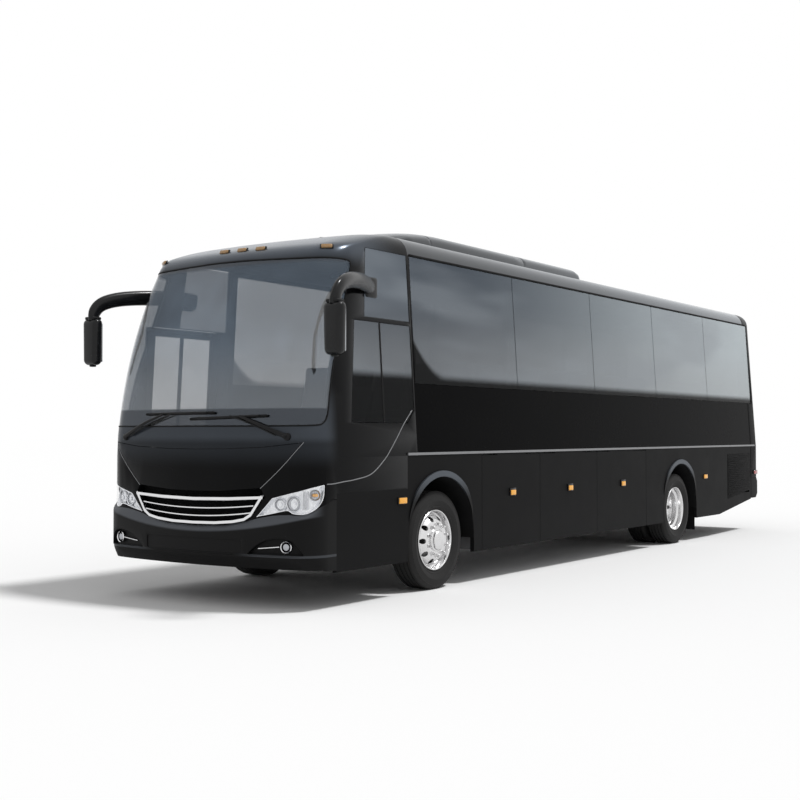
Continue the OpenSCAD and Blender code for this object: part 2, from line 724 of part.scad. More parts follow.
// Entry door leaf, its two panes and its hinge pins
entry_panes_z = [[700, 1240], [1400, 2480]];
entry_frame = 90;
entry_lap = 20;
module entry_pane(k, out, d0, d1) {
    along_y(entry_y0 + entry_frame - out, entry_y1 - entry_frame + out)
        wall_2d(entry_panes_z[k][0] - out, entry_panes_z[k][1] + out, d0, d1);
}
module entry_door() color([0.03, 0.03, 0.035]) mirror([1, 0, 0]) {
    difference() {
        along_y(entry_y0, entry_y1) wall_2d(entry_z0, entry_z1, 0, skirt_t);
        for (k = [0, 1]) {
            entry_pane(k, 0, -over, skirt_t + over);
            entry_pane(k, entry_lap, -over, glass_t + seat);
            translate([half_w - over, entry_y0 - over, entry_knuckles_z[k][0] - door_gap])
                cube([2 * over, over + 2 * entry_knuckle_r,
                    entry_knuckles_z[k][1] - entry_knuckles_z[k][0] + 2 * door_gap]);
        }
    }
    for (k = [0, 1])
        for (s = [-1, 1])
            translate([half_w, entry_axis_y, s < 0
                ? entry_knuckles_z[k][0] - seat - entry_pin_l
                : entry_knuckles_z[k][1] + seat])
                cylinder(r = entry_pin_r, h = entry_pin_l);
}
entry_pin_l = 50;
module entry_glass() color([0.10, 0.12, 0.14]) mirror([1, 0, 0])
    for (k = [0, 1])
        entry_pane(k, entry_lap - pane_gap / 4, 0, glass_t);

// Lamps on the fixed panels: side markers, tail markers and the forehead row
marker_runs = [-695, 7087];
side_marker_y = [fa + marker_runs[0], fa + marker_runs[1]];
brow_lamp_x = [-1001, -210, 0, 210, 1001];
brow_lamp = [120, 60, 36];
brow_lamp_z = 3205;
module marker_lamps() color([0.9, 0.5, 0.08]) {
    both() for (y = side_marker_y)
        translate([half_w + marker_box[1] / 4, y, marker_z])
            cube([marker_box[1] / 2, marker_box[0], marker_box[2]], center = true);
    difference() {
        for (x = brow_lamp_x)
            translate([x, nose_y(brow_lamp_z) + nose_r - sqrt(pow(nose_r, 2) - pow(x, 2)), brow_lamp_z])
                rotate([-screen_lean_top, 0, 0]) cube(brow_lamp, center = true);
        shell(nose_rows(-seat), nose_rows(wall_t), both_ways(turns), nose_r, corner_r, cap_seam, true);
    }
}

// Roof air unit
pod_y = [for (y = [-480, 560, 3980, 4260]) fa + y];
pod_w = [1500, 1240];
pod_h = 190;
pod_edge = 60;
module roof_aircon() color([0.05, 0.05, 0.055]) difference() {
    intersection() {
        along_x(-half_w, half_w) polygon([
            [pod_y[0], roof_z - pod_edge],
            [pod_y[1], roof_z + pod_h],
            [pod_y[2], roof_z + pod_h],
            [pod_y[3], roof_z + pod_h / 2],
            [pod_y[3], roof_z - pod_edge]]);
        along_y(pod_y[0], pod_y[3]) polygon([
            [-pod_w[0] / 2, roof_z - pod_edge],
            [pod_w[0] / 2, roof_z - pod_edge],
            [pod_w[0] / 2, roof_z + pod_h / 2],
            [pod_w[1] / 2, roof_z + pod_h],
            [-pod_w[1] / 2, roof_z + pod_h],
            [-pod_w[0] / 2, roof_z + pod_h / 2]]);
    }
    outer = roof_half(0);
    n = len(outer);
    along_y(pod_y[0] - over, pod_y[3] + over) polygon(concat(
        outer,
        [for (k = [n - 1 : -1 : 0]) [-outer[k][0], outer[k][1]]],
        [[-half_w, roof_z - shoulder_r], [half_w, roof_z - shoulder_r]]));
    shell(nose_rows(0), nose_rows(wall_t), both_ways(turns), nose_r, corner_r, cap_seam + over, true);
}

// Mirrors hanging from bent arms
front_axle_at = [0, fa, 0];
mirror_at = front_axle_at + [1467, -2013, 2402];
mirror_size = [200, 110, 450];
mirror_round = 45;
arm_r = 36;
arm_steps = 9;
arm_from = [[1120, -1240, 2790], [1300, -1560, 2900], [1467, -2060, 2930], [1467, -2013, 2600]];
arm_bends = [for (p = arm_from) front_axle_at + p];
module rod(a, b, r) {
    v = b - a;
    h = norm(v);
    translate(a) rotate([0, acos(v[2] / h), atan2(v[1], v[0])]) cylinder(r = r, h = h);
}
// Place on the bend through the four points of an arm
function arm_pt(t) =
    pow(1 - t, 3) * arm_bends[0] + 3 * pow(1 - t, 2) * t * arm_bends[1]
    + 3 * (1 - t) * pow(t, 2) * arm_bends[2] + pow(t, 3) * arm_bends[3];
module mirrors() color([0.03, 0.03, 0.035]) both() difference() {
    union() {
        for (k = [0 : arm_steps - 1])
            hull() for (i = [k, k + 1])
                translate(arm_pt(i / arm_steps)) sphere(r = arm_r, $fn = 16);
        hull() for (i = [-1, 1]) for (j = [-1, 1]) for (k = [-1, 1])
            translate(mirror_at + [
                i * (mirror_size[0] / 2 - mirror_round),
                j * (mirror_size[1] / 2 - mirror_round),
                k * (mirror_size[2] / 2 - mirror_round)])
                sphere(r = mirror_round, $fn = 16);
    }
    shell(nose_rows(-seat), nose_rows(3 * wall_t), both_ways(turns), nose_r, corner_r, cap_seam, true);
}

// Wipers: pivot, arm and blade in front of the windshield
wiper_pivot = [976, 1488];
wiper_tip = [180, 1640];
wiper_off = 24;
blade_half = 420;
function glass_pt(x, z, d) = [x, nose_y(z) + nose_r - sqrt(pow(nose_r, 2) - pow(x, 2)) - d, z];
module wipers() color([0.05, 0.05, 0.05]) both() difference() {
    a = glass_pt(wiper_pivot[0], wiper_pivot[1], wiper_off);
    b = glass_pt(wiper_tip[0], wiper_tip[1], wiper_off);
    union() {
        translate(a) rotate([90, 0, 0]) cylinder(r = wiper_hub_r, h = 2 * wiper_off, center = true);
        rod(a, b, wiper_r);
        rod(glass_pt(wiper_tip[0] - blade_half / 3, wiper_tip[1] - wiper_off, wiper_off),
            glass_pt(wiper_tip[0] + blade_half, wiper_tip[1] + wiper_off, wiper_off), wiper_r);
    }
    screen_band(glass_z0, glass_z1, glass_turns, -2 * seat, screen_t);
    shell(nose_rows(-seat), nose_rows(wall_t), both_ways(turns), nose_r, corner_r, cap_seam, true);
}
wiper_hub_r = 28;
wiper_r = 10;

// Floors, steps and luggage bay
floor_t = 50;
platform_z = 900;
platform_runs = [-1860, -720];
platform_y0 = fa + platform_runs[0];
platform_y1 = fa + platform_runs[1];
platform_half = 1080;
neck_half = 520;
riser_z = 1010;
stair_x = 290;
bay_floor_t = 40;
bulkhead_t = 30;
floor_half = half_w - wall_t;
step_rise = 240;
step_z0 = 370;
step_run = (floor_half - floor_t - stair_x) / 2;
aisle_w = 460;
module cabin_floor() color([0.25, 0.25, 0.27]) {
    block([-floor_half, cap_seam, belt_z - floor_t], [floor_half, tail_seam - seat, belt_z]);
    block([-floor_half, cap_seam, riser_z], [floor_half, cap_seam + floor_t, belt_z]);
    block([-neck_half, cap_seam, platform_z - floor_t + seat], [neck_half, cap_seam + floor_t, belt_z]);
    block([-stair_x, platform_y0, platform_z - floor_t + seat], [platform_half, platform_y1, platform_z]);
    block([-neck_half, platform_y1, platform_z - floor_t + seat], [neck_half, cap_seam + floor_t, platform_z]);
    // stair flight from the entry door up to the platform
    for (k = [0 : 1])
        block([-floor_half + floor_t + k * step_run, entry_y0 + floor_t, step_z0 + k * step_rise - floor_t],
            [-floor_half + floor_t + (k + 1) * step_run, entry_y1 - floor_t, step_z0 + k * step_rise]);
    block([-floor_half + step_run, entry_y0 + floor_t, step_z0 - floor_t],
        [-floor_half + 2 * floor_t + step_run, entry_y1 - floor_t, step_z0 + step_rise]);
    block([-stair_x - floor_t, entry_y0 + floor_t, step_z0 + step_rise - floor_t],
        [-stair_x + floor_t, entry_y1 - floor_t, platform_z]);
    // step up from the platform to the aisle
    block([-aisle_w / 2, cap_seam - step_run, platform_z],
        [aisle_w / 2, cap_seam, (platform_z + belt_z) / 2]);
}
module luggage_bay() color([0.3, 0.3, 0.32]) {
    block([-floor_half, bay_seams[0], skirt_z + door_gap],
        [floor_half, bay_seams[3], skirt_z + door_gap + bay_floor_t]);
    for (k = [0 : 3])
        block([-floor_half, bay_seams[k] - bulkhead_t / 2, skirt_z + door_gap],
            [floor_half, bay_seams[k] + bulkhead_t / 2, belt_z - floor_t]);
}

// Frame rails in front of and behind the bays
rail_x = 430;
rail_w = 80;
rail_z = [620, 850];
rail_runs = [-1840, 9150];
rail_ends = [[fa + rail_runs[0], bay_seams[0] - bulkhead_t / 2],
    [bay_seams[3] + bulkhead_t / 2, fa + rail_runs[1]]];
cross_w = 90;
engine_runs = [7350, 9000];
engine_y = [for (y = engine_runs) fa + y];
cross_y = [for (y = [-1840, -560, 520, 5167, 6904, 7470, 8800, 9060]) fa + y];
jack_r = 55;
jack_h = 40;
jack_runs = [-520, 6844];
jack_y = [for (y = jack_runs) fa + y];
module chassis_frame() color([0.08, 0.08, 0.09]) {
    both() for (e = rail_ends)
        block([rail_x - rail_w / 2, e[0], rail_z[0]], [rail_x + rail_w / 2, e[1], rail_z[1]]);
    for (y = cross_y)
        block([-rail_x, y, rail_z[0]], [rail_x, y + cross_w, rail_z[0] + cross_w]);
    both() for (y = jack_y)
        translate([rail_x, y, rail_z[0] - jack_h]) cylinder(r = jack_r, h = jack_h + seat);
}
// Towing lugs with an upright pin bore
tow_r = 21;
tow_size = [160, 240, 50];
module tow_eyes() color([0.5, 0.08, 0.06])
    for (e = [[rail_ends[0][0], -1], [rail_ends[1][1], 1]])
        difference() {
            translate([-tow_size[0] / 2, e[0] - (e[1] < 0 ? tow_size[1] - cross_w : cross_w), rail_z[0] - tow_size[2]])
                cube(tow_size);
            translate([0, e[0] + e[1] * (tow_size[1] - cross_w) / 2, rail_z[0] - tow_size[2] - over])
                cylinder(r = tow_r, h = tow_size[2] + 2 * over);
        }
module engine() color([0.2, 0.22, 0.22])
    block([-rail_x + rail_w, engine_y[0], rail_z[0] + cross_w], [rail_x - rail_w, engine_y[1], belt_z - floor_t - over]);

// Front axle, knuckles and wheels
wheel_x = half_w - tyre_inset - tyre_w / 2;
king_in = 150;
king_x = wheel_x - king_in;
king_r = 25;
king_play = 0.05;
boss_r = 55;
boss_h = 120;
beam_w = 90;
beam_h = 80;
fork_t = 34;
fork_gap = 2;
hub_bore = 45;
hub_play = 0.1;
module front_axle() color([0.1, 0.1, 0.11]) difference() {
    union() {
        block([-king_x, fa - beam_w / 2, axle_z - beam_h / 2], [king_x, fa + beam_w / 2, axle_z + beam_h / 2]);
        both() translate([king_x, fa, axle_z - boss_h / 2]) cylinder(r = boss_r, h = boss_h);
    }
    both() translate([king_x, fa, axle_z - boss_h]) cylinder(r = king_r + king_play, h = 2 * boss_h);
}
spindle_l = 60;
module knuckle() {
    translate([king_x, fa, axle_z - boss_h / 2 - fork_gap - fork_t])
        cylinder(r = king_r, h = boss_h + 2 * (fork_gap + fork_t));
    for (s = [-1, 1])
        translate([king_x, fa, axle_z + s * (boss_h / 2 + fork_gap + fork_t / 2)]) {
            cylinder(r = boss_r, h = fork_t, center = true);
            translate([(boss_r + fork_back) / 2, 0, 0]) cube([boss_r + fork_back, 2 * boss_r, fork_t], center = true);
        }
    block([king_x + boss_r + fork_gap + fork_clear, fa - boss_r, axle_z - boss_h / 2 - fork_gap - fork_t],
        [king_x + boss_r + fork_back, fa + boss_r, axle_z + boss_h / 2 + fork_gap + fork_t]);
    translate([king_x + boss_r + fork_back - fork_gap, fa, axle_z])
        rotate([0, 90, 0]) cylinder(r = hub_bore, h = spindle_l + fork_gap);
}
fork_back = 35;
fork_clear = 10;
module knuckle_left() color([0.12, 0.12, 0.13]) knuckle();
module knuckle_right() color([0.12, 0.12, 0.13]) mirror([1, 0, 0]) knuckle();

// Wheel profiles as [radius, offset outward from the tyre middle]
flange_r = 297;
seat_r = 283;
well_r = 250;
rim_half = 108;
rim_t = 10;
lip = 14;
nut_r = 167.5;
disc_t = 16;
hub_r = 120;
face_lap = 20;
hand_r = 215;
hand_hole_r = 27;
hand_holes = 10;
module barrel_2d() {
    polygon([
        [seat_r - rim_t, -rim_half],
        [flange_r, -rim_half],
        [flange_r, -rim_half + rim_t],
        [seat_r, -rim_half + lip],
        [seat_r, -rim_half / 2],
        [well_r, -rim_half / 4],
        [well_r, rim_half / 4],
        [seat_r, rim_half / 2],
        [seat_r, rim_half - lip],
        [flange_r, rim_half - rim_t],
        [flange_r, rim_half],
        [seat_r - rim_t, rim_half],
        [seat_r - rim_t, rim_half / 2],
        [well_r - rim_t, rim_half / 4],
        [well_r - rim_t, -rim_half / 4],
        [seat_r - rim_t, -rim_half / 2]]);
}
// Disc from the barrel to the bolting face at offset f
module disc_2d(f) {
    edge_x = sign(f) * rim_half / 4;
    polygon([
        [well_r - rim_t / 2, edge_x - disc_t / 2],
        [well_r - rim_t / 2, edge_x + disc_t / 2],
        [(nut_r + well_r) / 2, (f + edge_x) / 2 + disc_t / 2],
        [nut_r + face_lap, f + disc_t / 2],
        [hub_r / 2, f + disc_t / 2],
        [hub_r / 2, f - disc_t / 2],
        [nut_r + face_lap, f - disc_t / 2],
        [(nut_r + well_r) / 2, (f + edge_x) / 2 - disc_t / 2]]);
}
module spun(x, y) {
    translate([x, y, axle_z]) rotate([0, 90, 0]) rotate_extrude($fn = 72) children();
}
module hand_cuts(x, y, f) {
    for (k = [0 : hand_holes - 1])
        translate([x, y, axle_z]) rotate([k * 360 / hand_holes, 0, 0])
            translate([f / 2, 0, hand_r]) rotate([0, 90, 0])
                cylinder(r = hand_hole_r, h = 2 * tyre_w, center = true);
}
front_face = 120;
hub_gap = 5;
hub_back = king_x + boss_r + fork_back + hub_gap - wheel_x;
module front_rim() {
    difference() {
        spun(wheel_x, fa) {
            barrel_2d();
            disc_2d(front_face);
        }
        hand_cuts(wheel_x, fa, front_face);
    }
    difference() {
        spun(wheel_x, fa) polygon([
            [0, hub_back],
            [hub_r, hub_back],
            [hub_r, front_face],
            [hub_cap_r, front_face + disc_t],
            [hub_cap_r, front_face + hub_cap_h],
            [hub_cap_r * cap_top_share, front_face + hub_cap_h + disc_t],
            [0, front_face + hub_cap_h + disc_t]]);
        translate([wheel_x + hub_back - over, fa, axle_z])
            rotate([0, 90, 0]) cylinder(r = hub_bore + hub_play, h = over + spindle_l + disc_t);
    }
}
hub_cap_r = 95;
hub_cap_h = 30;
cap_top_share = 0.85;
module rim_front_left() color([0.75, 0.76, 0.78]) front_rim();
module rim_front_right() color([0.75, 0.76, 0.78]) mirror([1, 0, 0]) front_rim();

tread_flat = 205;
shoulder_drop = 14;
side_bulge_r = 380;
bead_half = 105;
module tyre_2d() {
    r = tyre_d / 2;
    polygon([
        [seat_r + seat, -rim_half + lip + seat],
        [flange_r + seat, -rim_half + rim_t + seat],
        [flange_r + lip, -bead_half],
        [side_bulge_r, -tyre_w / 2],
        [(side_bulge_r + r) / 2, -tyre_w / 2 + seat],
        [r - shoulder_drop, -tread_flat / 2 - lip],
        [r, -tread_flat / 2],
        [r, tread_flat / 2],
        [r - shoulder_drop, tread_flat / 2 + lip],
        [(side_bulge_r + r) / 2, tyre_w / 2 - seat],
        [side_bulge_r, tyre_w / 2],
        [flange_r + lip, bead_half],
        [flange_r + seat, rim_half - rim_t - seat],
        [seat_r + seat, rim_half - lip - seat]]);
}
module tyre_front_left() color([0.06, 0.06, 0.06]) spun(wheel_x, fa) tyre_2d();
module tyre_front_right() color([0.06, 0.06, 0.06]) mirror([1, 0, 0]) spun(wheel_x, fa) tyre_2d();
module rear_tyres() {
    spun(wheel_x, ra) tyre_2d();
    spun(wheel_x - twin_pitch, ra) tyre_2d();
}
module tyres_rear_left() color([0.06, 0.06, 0.06]) rear_tyres();
module tyres_rear_right() color([0.06, 0.06, 0.06]) mirror([1, 0, 0]) rear_tyres();
rear_hub_l = 190;
module rear_rims() {
    mid = wheel_x - twin_pitch / 2;
    difference() {
        union() {
            spun(wheel_x, ra) {
                barrel_2d();
                disc_2d(-twin_pitch / 2 + disc_t / 2);
            }
            spun(wheel_x - twin_pitch, ra) {
                barrel_2d();
                disc_2d(twin_pitch / 2 - disc_t / 2);
            }
        }
        hand_cuts(mid, ra, 0);
    }
    difference() {
        spun(mid, ra) polygon([
            [0, -rear_hub_l / 2],
            [hub_r, -rear_hub_l / 2],
            [hub_r, rear_hub_l / 4],
            [hub_cap_r, rear_hub_l / 2],
            [0, rear_hub_l / 2]]);
        translate([mid - rear_hub_l / 2 - over, ra, axle_z])
            rotate([0, 90, 0]) cylinder(r = hub_bore + hub_play, h = over + rear_hub_l * bore_share);
    }
}
bore_share = 0.7;
module rims_rear_left() color([0.75, 0.76, 0.78]) rear_rims();
module rims_rear_right() color([0.75, 0.76, 0.78]) mirror([1, 0, 0]) rear_rims();

axle_r = 75;
diff_r = 200;
module rear_axle() color([0.1, 0.1, 0.11]) {
    mid = wheel_x - twin_pitch / 2;
    translate([0, ra, axle_z]) rotate([0, 90, 0])
        cylinder(r = axle_r, h = 2 * (mid - rear_hub_l / 2 - hub_gap), center = true);
    translate([0, ra, axle_z]) rotate([0, 90, 0])
        cylinder(r = hub_bore, h = 2 * (mid - rear_hub_l / 2 + rear_hub_l * bore_share - 2 * hub_gap), center = true);
    difference() {
        translate([0, ra, axle_z]) sphere(r = diff_r);
        block([-diff_r, ra - diff_r, axle_z + diff_r / 2], [diff_r, ra + diff_r, axle_z + 2 * diff_r]);
    }
}
spring_r = 105;
module air_springs() color([0.05, 0.05, 0.05]) both() {
    translate([rail_x, fa, axle_z + beam_h / 2])
        cylinder(r = spring_r * spring_share, h = rail_z[0] - axle_z - beam_h / 2);
    for (s = [-1, 1])
        translate([rail_x, ra + s * (axle_r + spring_r + over), rail_z[0] - rear_spring_h])
            cylinder(r = spring_r, h = rear_spring_h);
}
spring_share = 0.42;
rear_spring_h = 220;
mud_set = 30;
mud_t = 10;
mud_z = [150, 480];
mud_y = ra + arch_r + mud_set;
module mud_flaps() color([0.05, 0.05, 0.05]) both()
    block([half_w - tyre_inset - twin_pitch - tyre_w, mud_y, mud_z[0]],
        [half_w - skirt_t, mud_y + mud_t, mud_z[1]]);

// Seats in pairs on both sides of the aisle, one row wide at the back
seat_rows = 11;
seat_pitch = 740;
seat_y0 = fa + 200;
seat_w = 430;
seat_in = 240;
cushion_z = [1610, 1770];
cushion_l = 440;
back_t = 110;
back_h = 700;
recline = 12;
seat_gap = 12;
module seat_pair(y) {
    for (k = [0, 1])
        translate([seat_in + k * (seat_w + seat_gap), y, 0]) {
            block([0, 0, cushion_z[0]], [seat_w, cushion_l, cushion_z[1]]);
            translate([0, cushion_l + seat_gap, cushion_z[0]]) rotate([-recline, 0, 0])
                cube([seat_w, back_t, back_h]);
        }
}
driver_at = front_axle_at + [560, -1180, platform_z];
driver_h = 420;
module seats() color([0.35, 0.36, 0.38]) {
    both() for (k = [0 : seat_rows - 1])
        seat_pair(seat_y0 + k * seat_pitch);
    translate(driver_at) {
        block([-seat_w / 2, 0, driver_h], [seat_w / 2, cushion_l, driver_h + back_t]);
        translate([-seat_w / 2, cushion_l + seat_gap, driver_h]) rotate([-recline, 0, 0])
            cube([seat_w, back_t, back_h]);
    }
}
leg_w = 60;
module seat_frames() color([0.15, 0.15, 0.16]) {
    both() for (k = [0 : seat_rows - 1])
        translate([seat_in, seat_y0 + k * seat_pitch, belt_z]) {
            block([seat_w - leg_w, leg_w, 0], [seat_w, cushion_l - leg_w, cushion_z[0] - belt_z - leg_w / 2]);
            block([0, leg_w, cushion_z[0] - belt_z - leg_w / 2],
                [2 * seat_w, cushion_l - leg_w / 2, cushion_z[0] - belt_z - seat]);
            for (i = [0, 1])
                block([i * (seat_w + seat_gap), cushion_l - leg_w / 2, cushion_z[0] - belt_z - leg_w / 2],
                    [seat_w + i * (seat_w + seat_gap), cushion_l + back_t, cushion_z[0] - belt_z - recline_drop]);
        }
    translate(driver_at)
        block([-leg_w * 2, leg_w, 0], [leg_w * 2, cushion_l - leg_w, driver_h - seat]);
}
recline_drop = back_t * sin(recline) + seat;
dash_half = 720;
dash_set = 110;
dash_y = mask_y + wall_t + dash_set;
dash_l = 430;
dash_z = 1480;
wheel_r = 225;
wheel_t = 16;
module dashboard() color([0.08, 0.08, 0.085]) {
    along_x(-dash_half, dash_half) polygon([
        [dash_y + dash_l / 3, platform_z],
        [dash_y, platform_z + dash_l / 2],
        [dash_y, dash_z - dash_l / 4],
        [dash_y + dash_l / 3, dash_z],
        [dash_y + dash_l, dash_z - dash_l / 4],
        [dash_y + dash_l, dash_z - dash_l / 2],
        [dash_y + dash_l * 2 / 3, dash_z - dash_l],
        [dash_y + dash_l * 2 / 3, platform_z]]);
    steering_wheel();
}
column_lean = 35;
wheel_steps = 24;
spoke_w = 38;
spoke_t = 13;
module steering_wheel()
    translate([driver_at[0], dash_y + dash_l + wheel_r / 2, dash_z]) rotate([column_lean, 0, 0]) {
        for (k = [0 : wheel_steps - 1])
            hull() for (i = [k, k + 1])
                rotate([0, 0, i * 360 / wheel_steps]) translate([wheel_r, 0, 0]) sphere(r = wheel_t, $fn = 10);
        translate([0, 0, -wheel_r]) cylinder(r = 2 * wheel_t, h = wheel_r, $fn = 24);
        for (k = [0 : 2])
            rotate([0, 0, 90 + k * 120]) translate([0, -spoke_w / 2, -spoke_t / 2]) cube([wheel_r, spoke_w, spoke_t]);
    }

roof();
side_walls();
windows();
front_mask();
windshield();
front_lamps();
grille();
front_flap();
front_bumper();
rear_panel();
tail_lamps();
engine_hatch();
rear_bumper();
skirt_panels();
arch_flares();
belt_strips();
luggage_door_left_1();
luggage_door_left_2();
luggage_door_left_3();
luggage_door_right_1();
luggage_door_right_2();
luggage_door_right_3();
entry_door();
entry_glass();
marker_lamps();
roof_aircon();
mirrors();
wipers();
cabin_floor();
luggage_bay();
chassis_frame();
tow_eyes();
engine();
front_axle();
knuckle_left();
knuckle_right();
rim_front_left();
rim_front_right();
tyre_front_left();
tyre_front_right();
tyres_rear_left();
tyres_rear_right();
rims_rear_left();
rims_rear_right();
rear_axle();
air_springs();
mud_flaps();
seats();
seat_frames();
dashboard();
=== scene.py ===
"""Touring coach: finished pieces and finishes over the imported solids, laid out as an add-on."""
import sys
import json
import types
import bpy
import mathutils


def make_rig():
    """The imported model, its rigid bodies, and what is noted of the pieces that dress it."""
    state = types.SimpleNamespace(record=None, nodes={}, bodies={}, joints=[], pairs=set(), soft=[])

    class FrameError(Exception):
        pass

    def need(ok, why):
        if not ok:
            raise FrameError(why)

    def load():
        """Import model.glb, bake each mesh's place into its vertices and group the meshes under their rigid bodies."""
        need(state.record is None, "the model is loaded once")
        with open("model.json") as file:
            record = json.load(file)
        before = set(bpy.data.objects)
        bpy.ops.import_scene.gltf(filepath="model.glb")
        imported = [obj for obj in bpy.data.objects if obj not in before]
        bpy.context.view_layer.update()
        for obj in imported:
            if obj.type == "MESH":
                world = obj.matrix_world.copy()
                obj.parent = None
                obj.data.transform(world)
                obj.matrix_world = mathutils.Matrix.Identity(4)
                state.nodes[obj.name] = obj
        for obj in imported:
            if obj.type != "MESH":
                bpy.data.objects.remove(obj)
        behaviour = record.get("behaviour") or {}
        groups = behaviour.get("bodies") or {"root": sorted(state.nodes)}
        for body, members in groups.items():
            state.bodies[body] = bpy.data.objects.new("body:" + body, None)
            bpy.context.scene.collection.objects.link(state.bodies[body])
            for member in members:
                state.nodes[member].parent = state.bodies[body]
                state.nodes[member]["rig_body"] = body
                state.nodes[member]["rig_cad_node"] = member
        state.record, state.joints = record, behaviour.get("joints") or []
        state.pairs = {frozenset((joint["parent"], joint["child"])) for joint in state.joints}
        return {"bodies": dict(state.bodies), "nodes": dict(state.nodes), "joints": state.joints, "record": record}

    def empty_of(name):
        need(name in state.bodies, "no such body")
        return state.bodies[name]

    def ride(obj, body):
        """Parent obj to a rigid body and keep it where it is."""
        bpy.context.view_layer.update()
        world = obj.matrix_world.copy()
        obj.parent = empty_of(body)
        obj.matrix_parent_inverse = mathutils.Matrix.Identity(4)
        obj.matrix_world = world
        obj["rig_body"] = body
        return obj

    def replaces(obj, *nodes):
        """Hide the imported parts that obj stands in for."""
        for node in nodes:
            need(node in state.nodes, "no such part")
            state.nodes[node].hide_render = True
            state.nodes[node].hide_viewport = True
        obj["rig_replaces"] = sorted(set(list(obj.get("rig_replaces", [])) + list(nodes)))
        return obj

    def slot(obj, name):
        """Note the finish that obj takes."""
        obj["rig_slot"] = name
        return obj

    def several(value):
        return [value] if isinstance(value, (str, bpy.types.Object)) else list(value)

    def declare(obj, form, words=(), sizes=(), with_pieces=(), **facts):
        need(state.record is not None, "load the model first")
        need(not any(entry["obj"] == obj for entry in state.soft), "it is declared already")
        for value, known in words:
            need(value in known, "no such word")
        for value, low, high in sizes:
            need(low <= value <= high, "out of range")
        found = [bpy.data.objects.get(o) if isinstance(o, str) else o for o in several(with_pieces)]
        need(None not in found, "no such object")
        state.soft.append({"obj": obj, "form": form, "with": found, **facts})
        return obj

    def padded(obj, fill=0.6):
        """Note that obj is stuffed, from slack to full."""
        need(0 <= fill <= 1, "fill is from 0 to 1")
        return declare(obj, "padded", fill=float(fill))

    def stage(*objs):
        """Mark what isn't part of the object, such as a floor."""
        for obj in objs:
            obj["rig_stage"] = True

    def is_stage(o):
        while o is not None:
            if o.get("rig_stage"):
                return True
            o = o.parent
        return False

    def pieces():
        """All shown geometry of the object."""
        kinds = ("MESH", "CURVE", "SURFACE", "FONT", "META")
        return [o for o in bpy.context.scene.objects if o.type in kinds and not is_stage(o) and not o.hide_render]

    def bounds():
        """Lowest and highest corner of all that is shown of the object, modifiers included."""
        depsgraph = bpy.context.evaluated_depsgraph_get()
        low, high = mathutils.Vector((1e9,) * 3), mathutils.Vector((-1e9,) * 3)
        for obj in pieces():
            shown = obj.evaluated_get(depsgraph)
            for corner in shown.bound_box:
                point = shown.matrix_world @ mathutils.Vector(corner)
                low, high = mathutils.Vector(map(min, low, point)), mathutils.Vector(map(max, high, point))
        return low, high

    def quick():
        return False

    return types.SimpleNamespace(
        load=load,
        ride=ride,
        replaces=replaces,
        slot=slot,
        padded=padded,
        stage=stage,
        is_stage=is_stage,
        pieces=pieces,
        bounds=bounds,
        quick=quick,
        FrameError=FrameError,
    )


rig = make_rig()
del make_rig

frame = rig.load()
import json
import math

import bmesh
import bpy
from bpy.props import FloatProperty, FloatVectorProperty, IntProperty, PointerProperty
from mathutils import Matrix, Vector

CAD_BOX = [list(corner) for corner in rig.bounds()]

bl_info = {
    "name": "Touring coach",
    "version": (1, 0, 0),
    "blender": (4, 5, 0),
    "location": "View3D > Sidebar > Coach",
    "description": "Builds the visible pieces of a touring coach on its packed solids",
    "category": "Object",
}


class CoachBody(bpy.types.PropertyGroup):
    """Sizes of the body shell."""
    half_width: FloatProperty(
        name="Half width", description="Middle to side below the waist", default=1.25, unit="LENGTH")
    waist: FloatProperty(
        name="Waist", description="Height at which the wall starts to lean", default=1.31, unit="LENGTH")
    lean: FloatProperty(
        name="Lean", description="Lean of the wall above the waist",
        default=math.radians(3.64), unit="ROTATION")
    shoulder_radius: FloatProperty(
        name="Shoulder", description="Radius of the roof shoulder", default=0.2, unit="LENGTH")
    crown_radius: FloatProperty(
        name="Crown", description="Radius of the roof crown", default=16.0, max=50, unit="LENGTH")
    roof_height: FloatProperty(name="Roof", description="Height of the crown", default=3.44, unit="LENGTH")
    wall: FloatProperty(name="Wall", description="Thickness of the shell", default=0.055, unit="LENGTH")
    gap: FloatProperty(name="Gap", description="Seam between panels", default=0.005, unit="LENGTH")
    soft: FloatProperty(name="Edge", description="Rounding of panel edges", default=0.004, unit="LENGTH")
    front_axle: FloatProperty(
        name="Front axle", description="Front axle along the coach", default=-3.66, unit="LENGTH")
    rear_axle: FloatProperty(
        name="Rear axle", description="Rear axle along the coach", default=2.484, unit="LENGTH")
    cap_seam: FloatProperty(
        name="Cap seam", description="Back edge of the front cap", default=-4.09, unit="LENGTH")
    tail_seam: FloatProperty(
        name="Tail seam", description="Front edge of the rear panel", default=5.4, unit="LENGTH")


class CoachFront(bpy.types.PropertyGroup):
    """Sizes of the front."""
    nose_radius: FloatProperty(
        name="Nose", description="Plan radius of the front", default=5.5, unit="LENGTH")
    corner_radius: FloatProperty(
        name="Corner", description="Plan radius of the front corners", default=0.288, unit="LENGTH")
    mask_y: FloatProperty(name="Mask", description="Face of the front panels", default=-5.807, unit="LENGTH")
    screen_low: FloatProperty(
        name="Foot lean", description="Lean at the foot of the windshield",
        default=math.radians(3.3), unit="ROTATION")
    screen_high: FloatProperty(
        name="Head lean", description="Lean at the head of the windshield",
        default=math.radians(28.7), unit="ROTATION")
    brow_radius: FloatProperty(
        name="Brow", description="Radius of the brow over the windshield", default=0.225, unit="LENGTH")
    bumper_y: FloatProperty(name="Bumper", description="Face of the bumper", default=-5.85, unit="LENGTH")
    bowl_radius: FloatProperty(
        name="Lamp bowl", description="Radius of a headlamp reflector", default=0.055, unit="LENGTH")


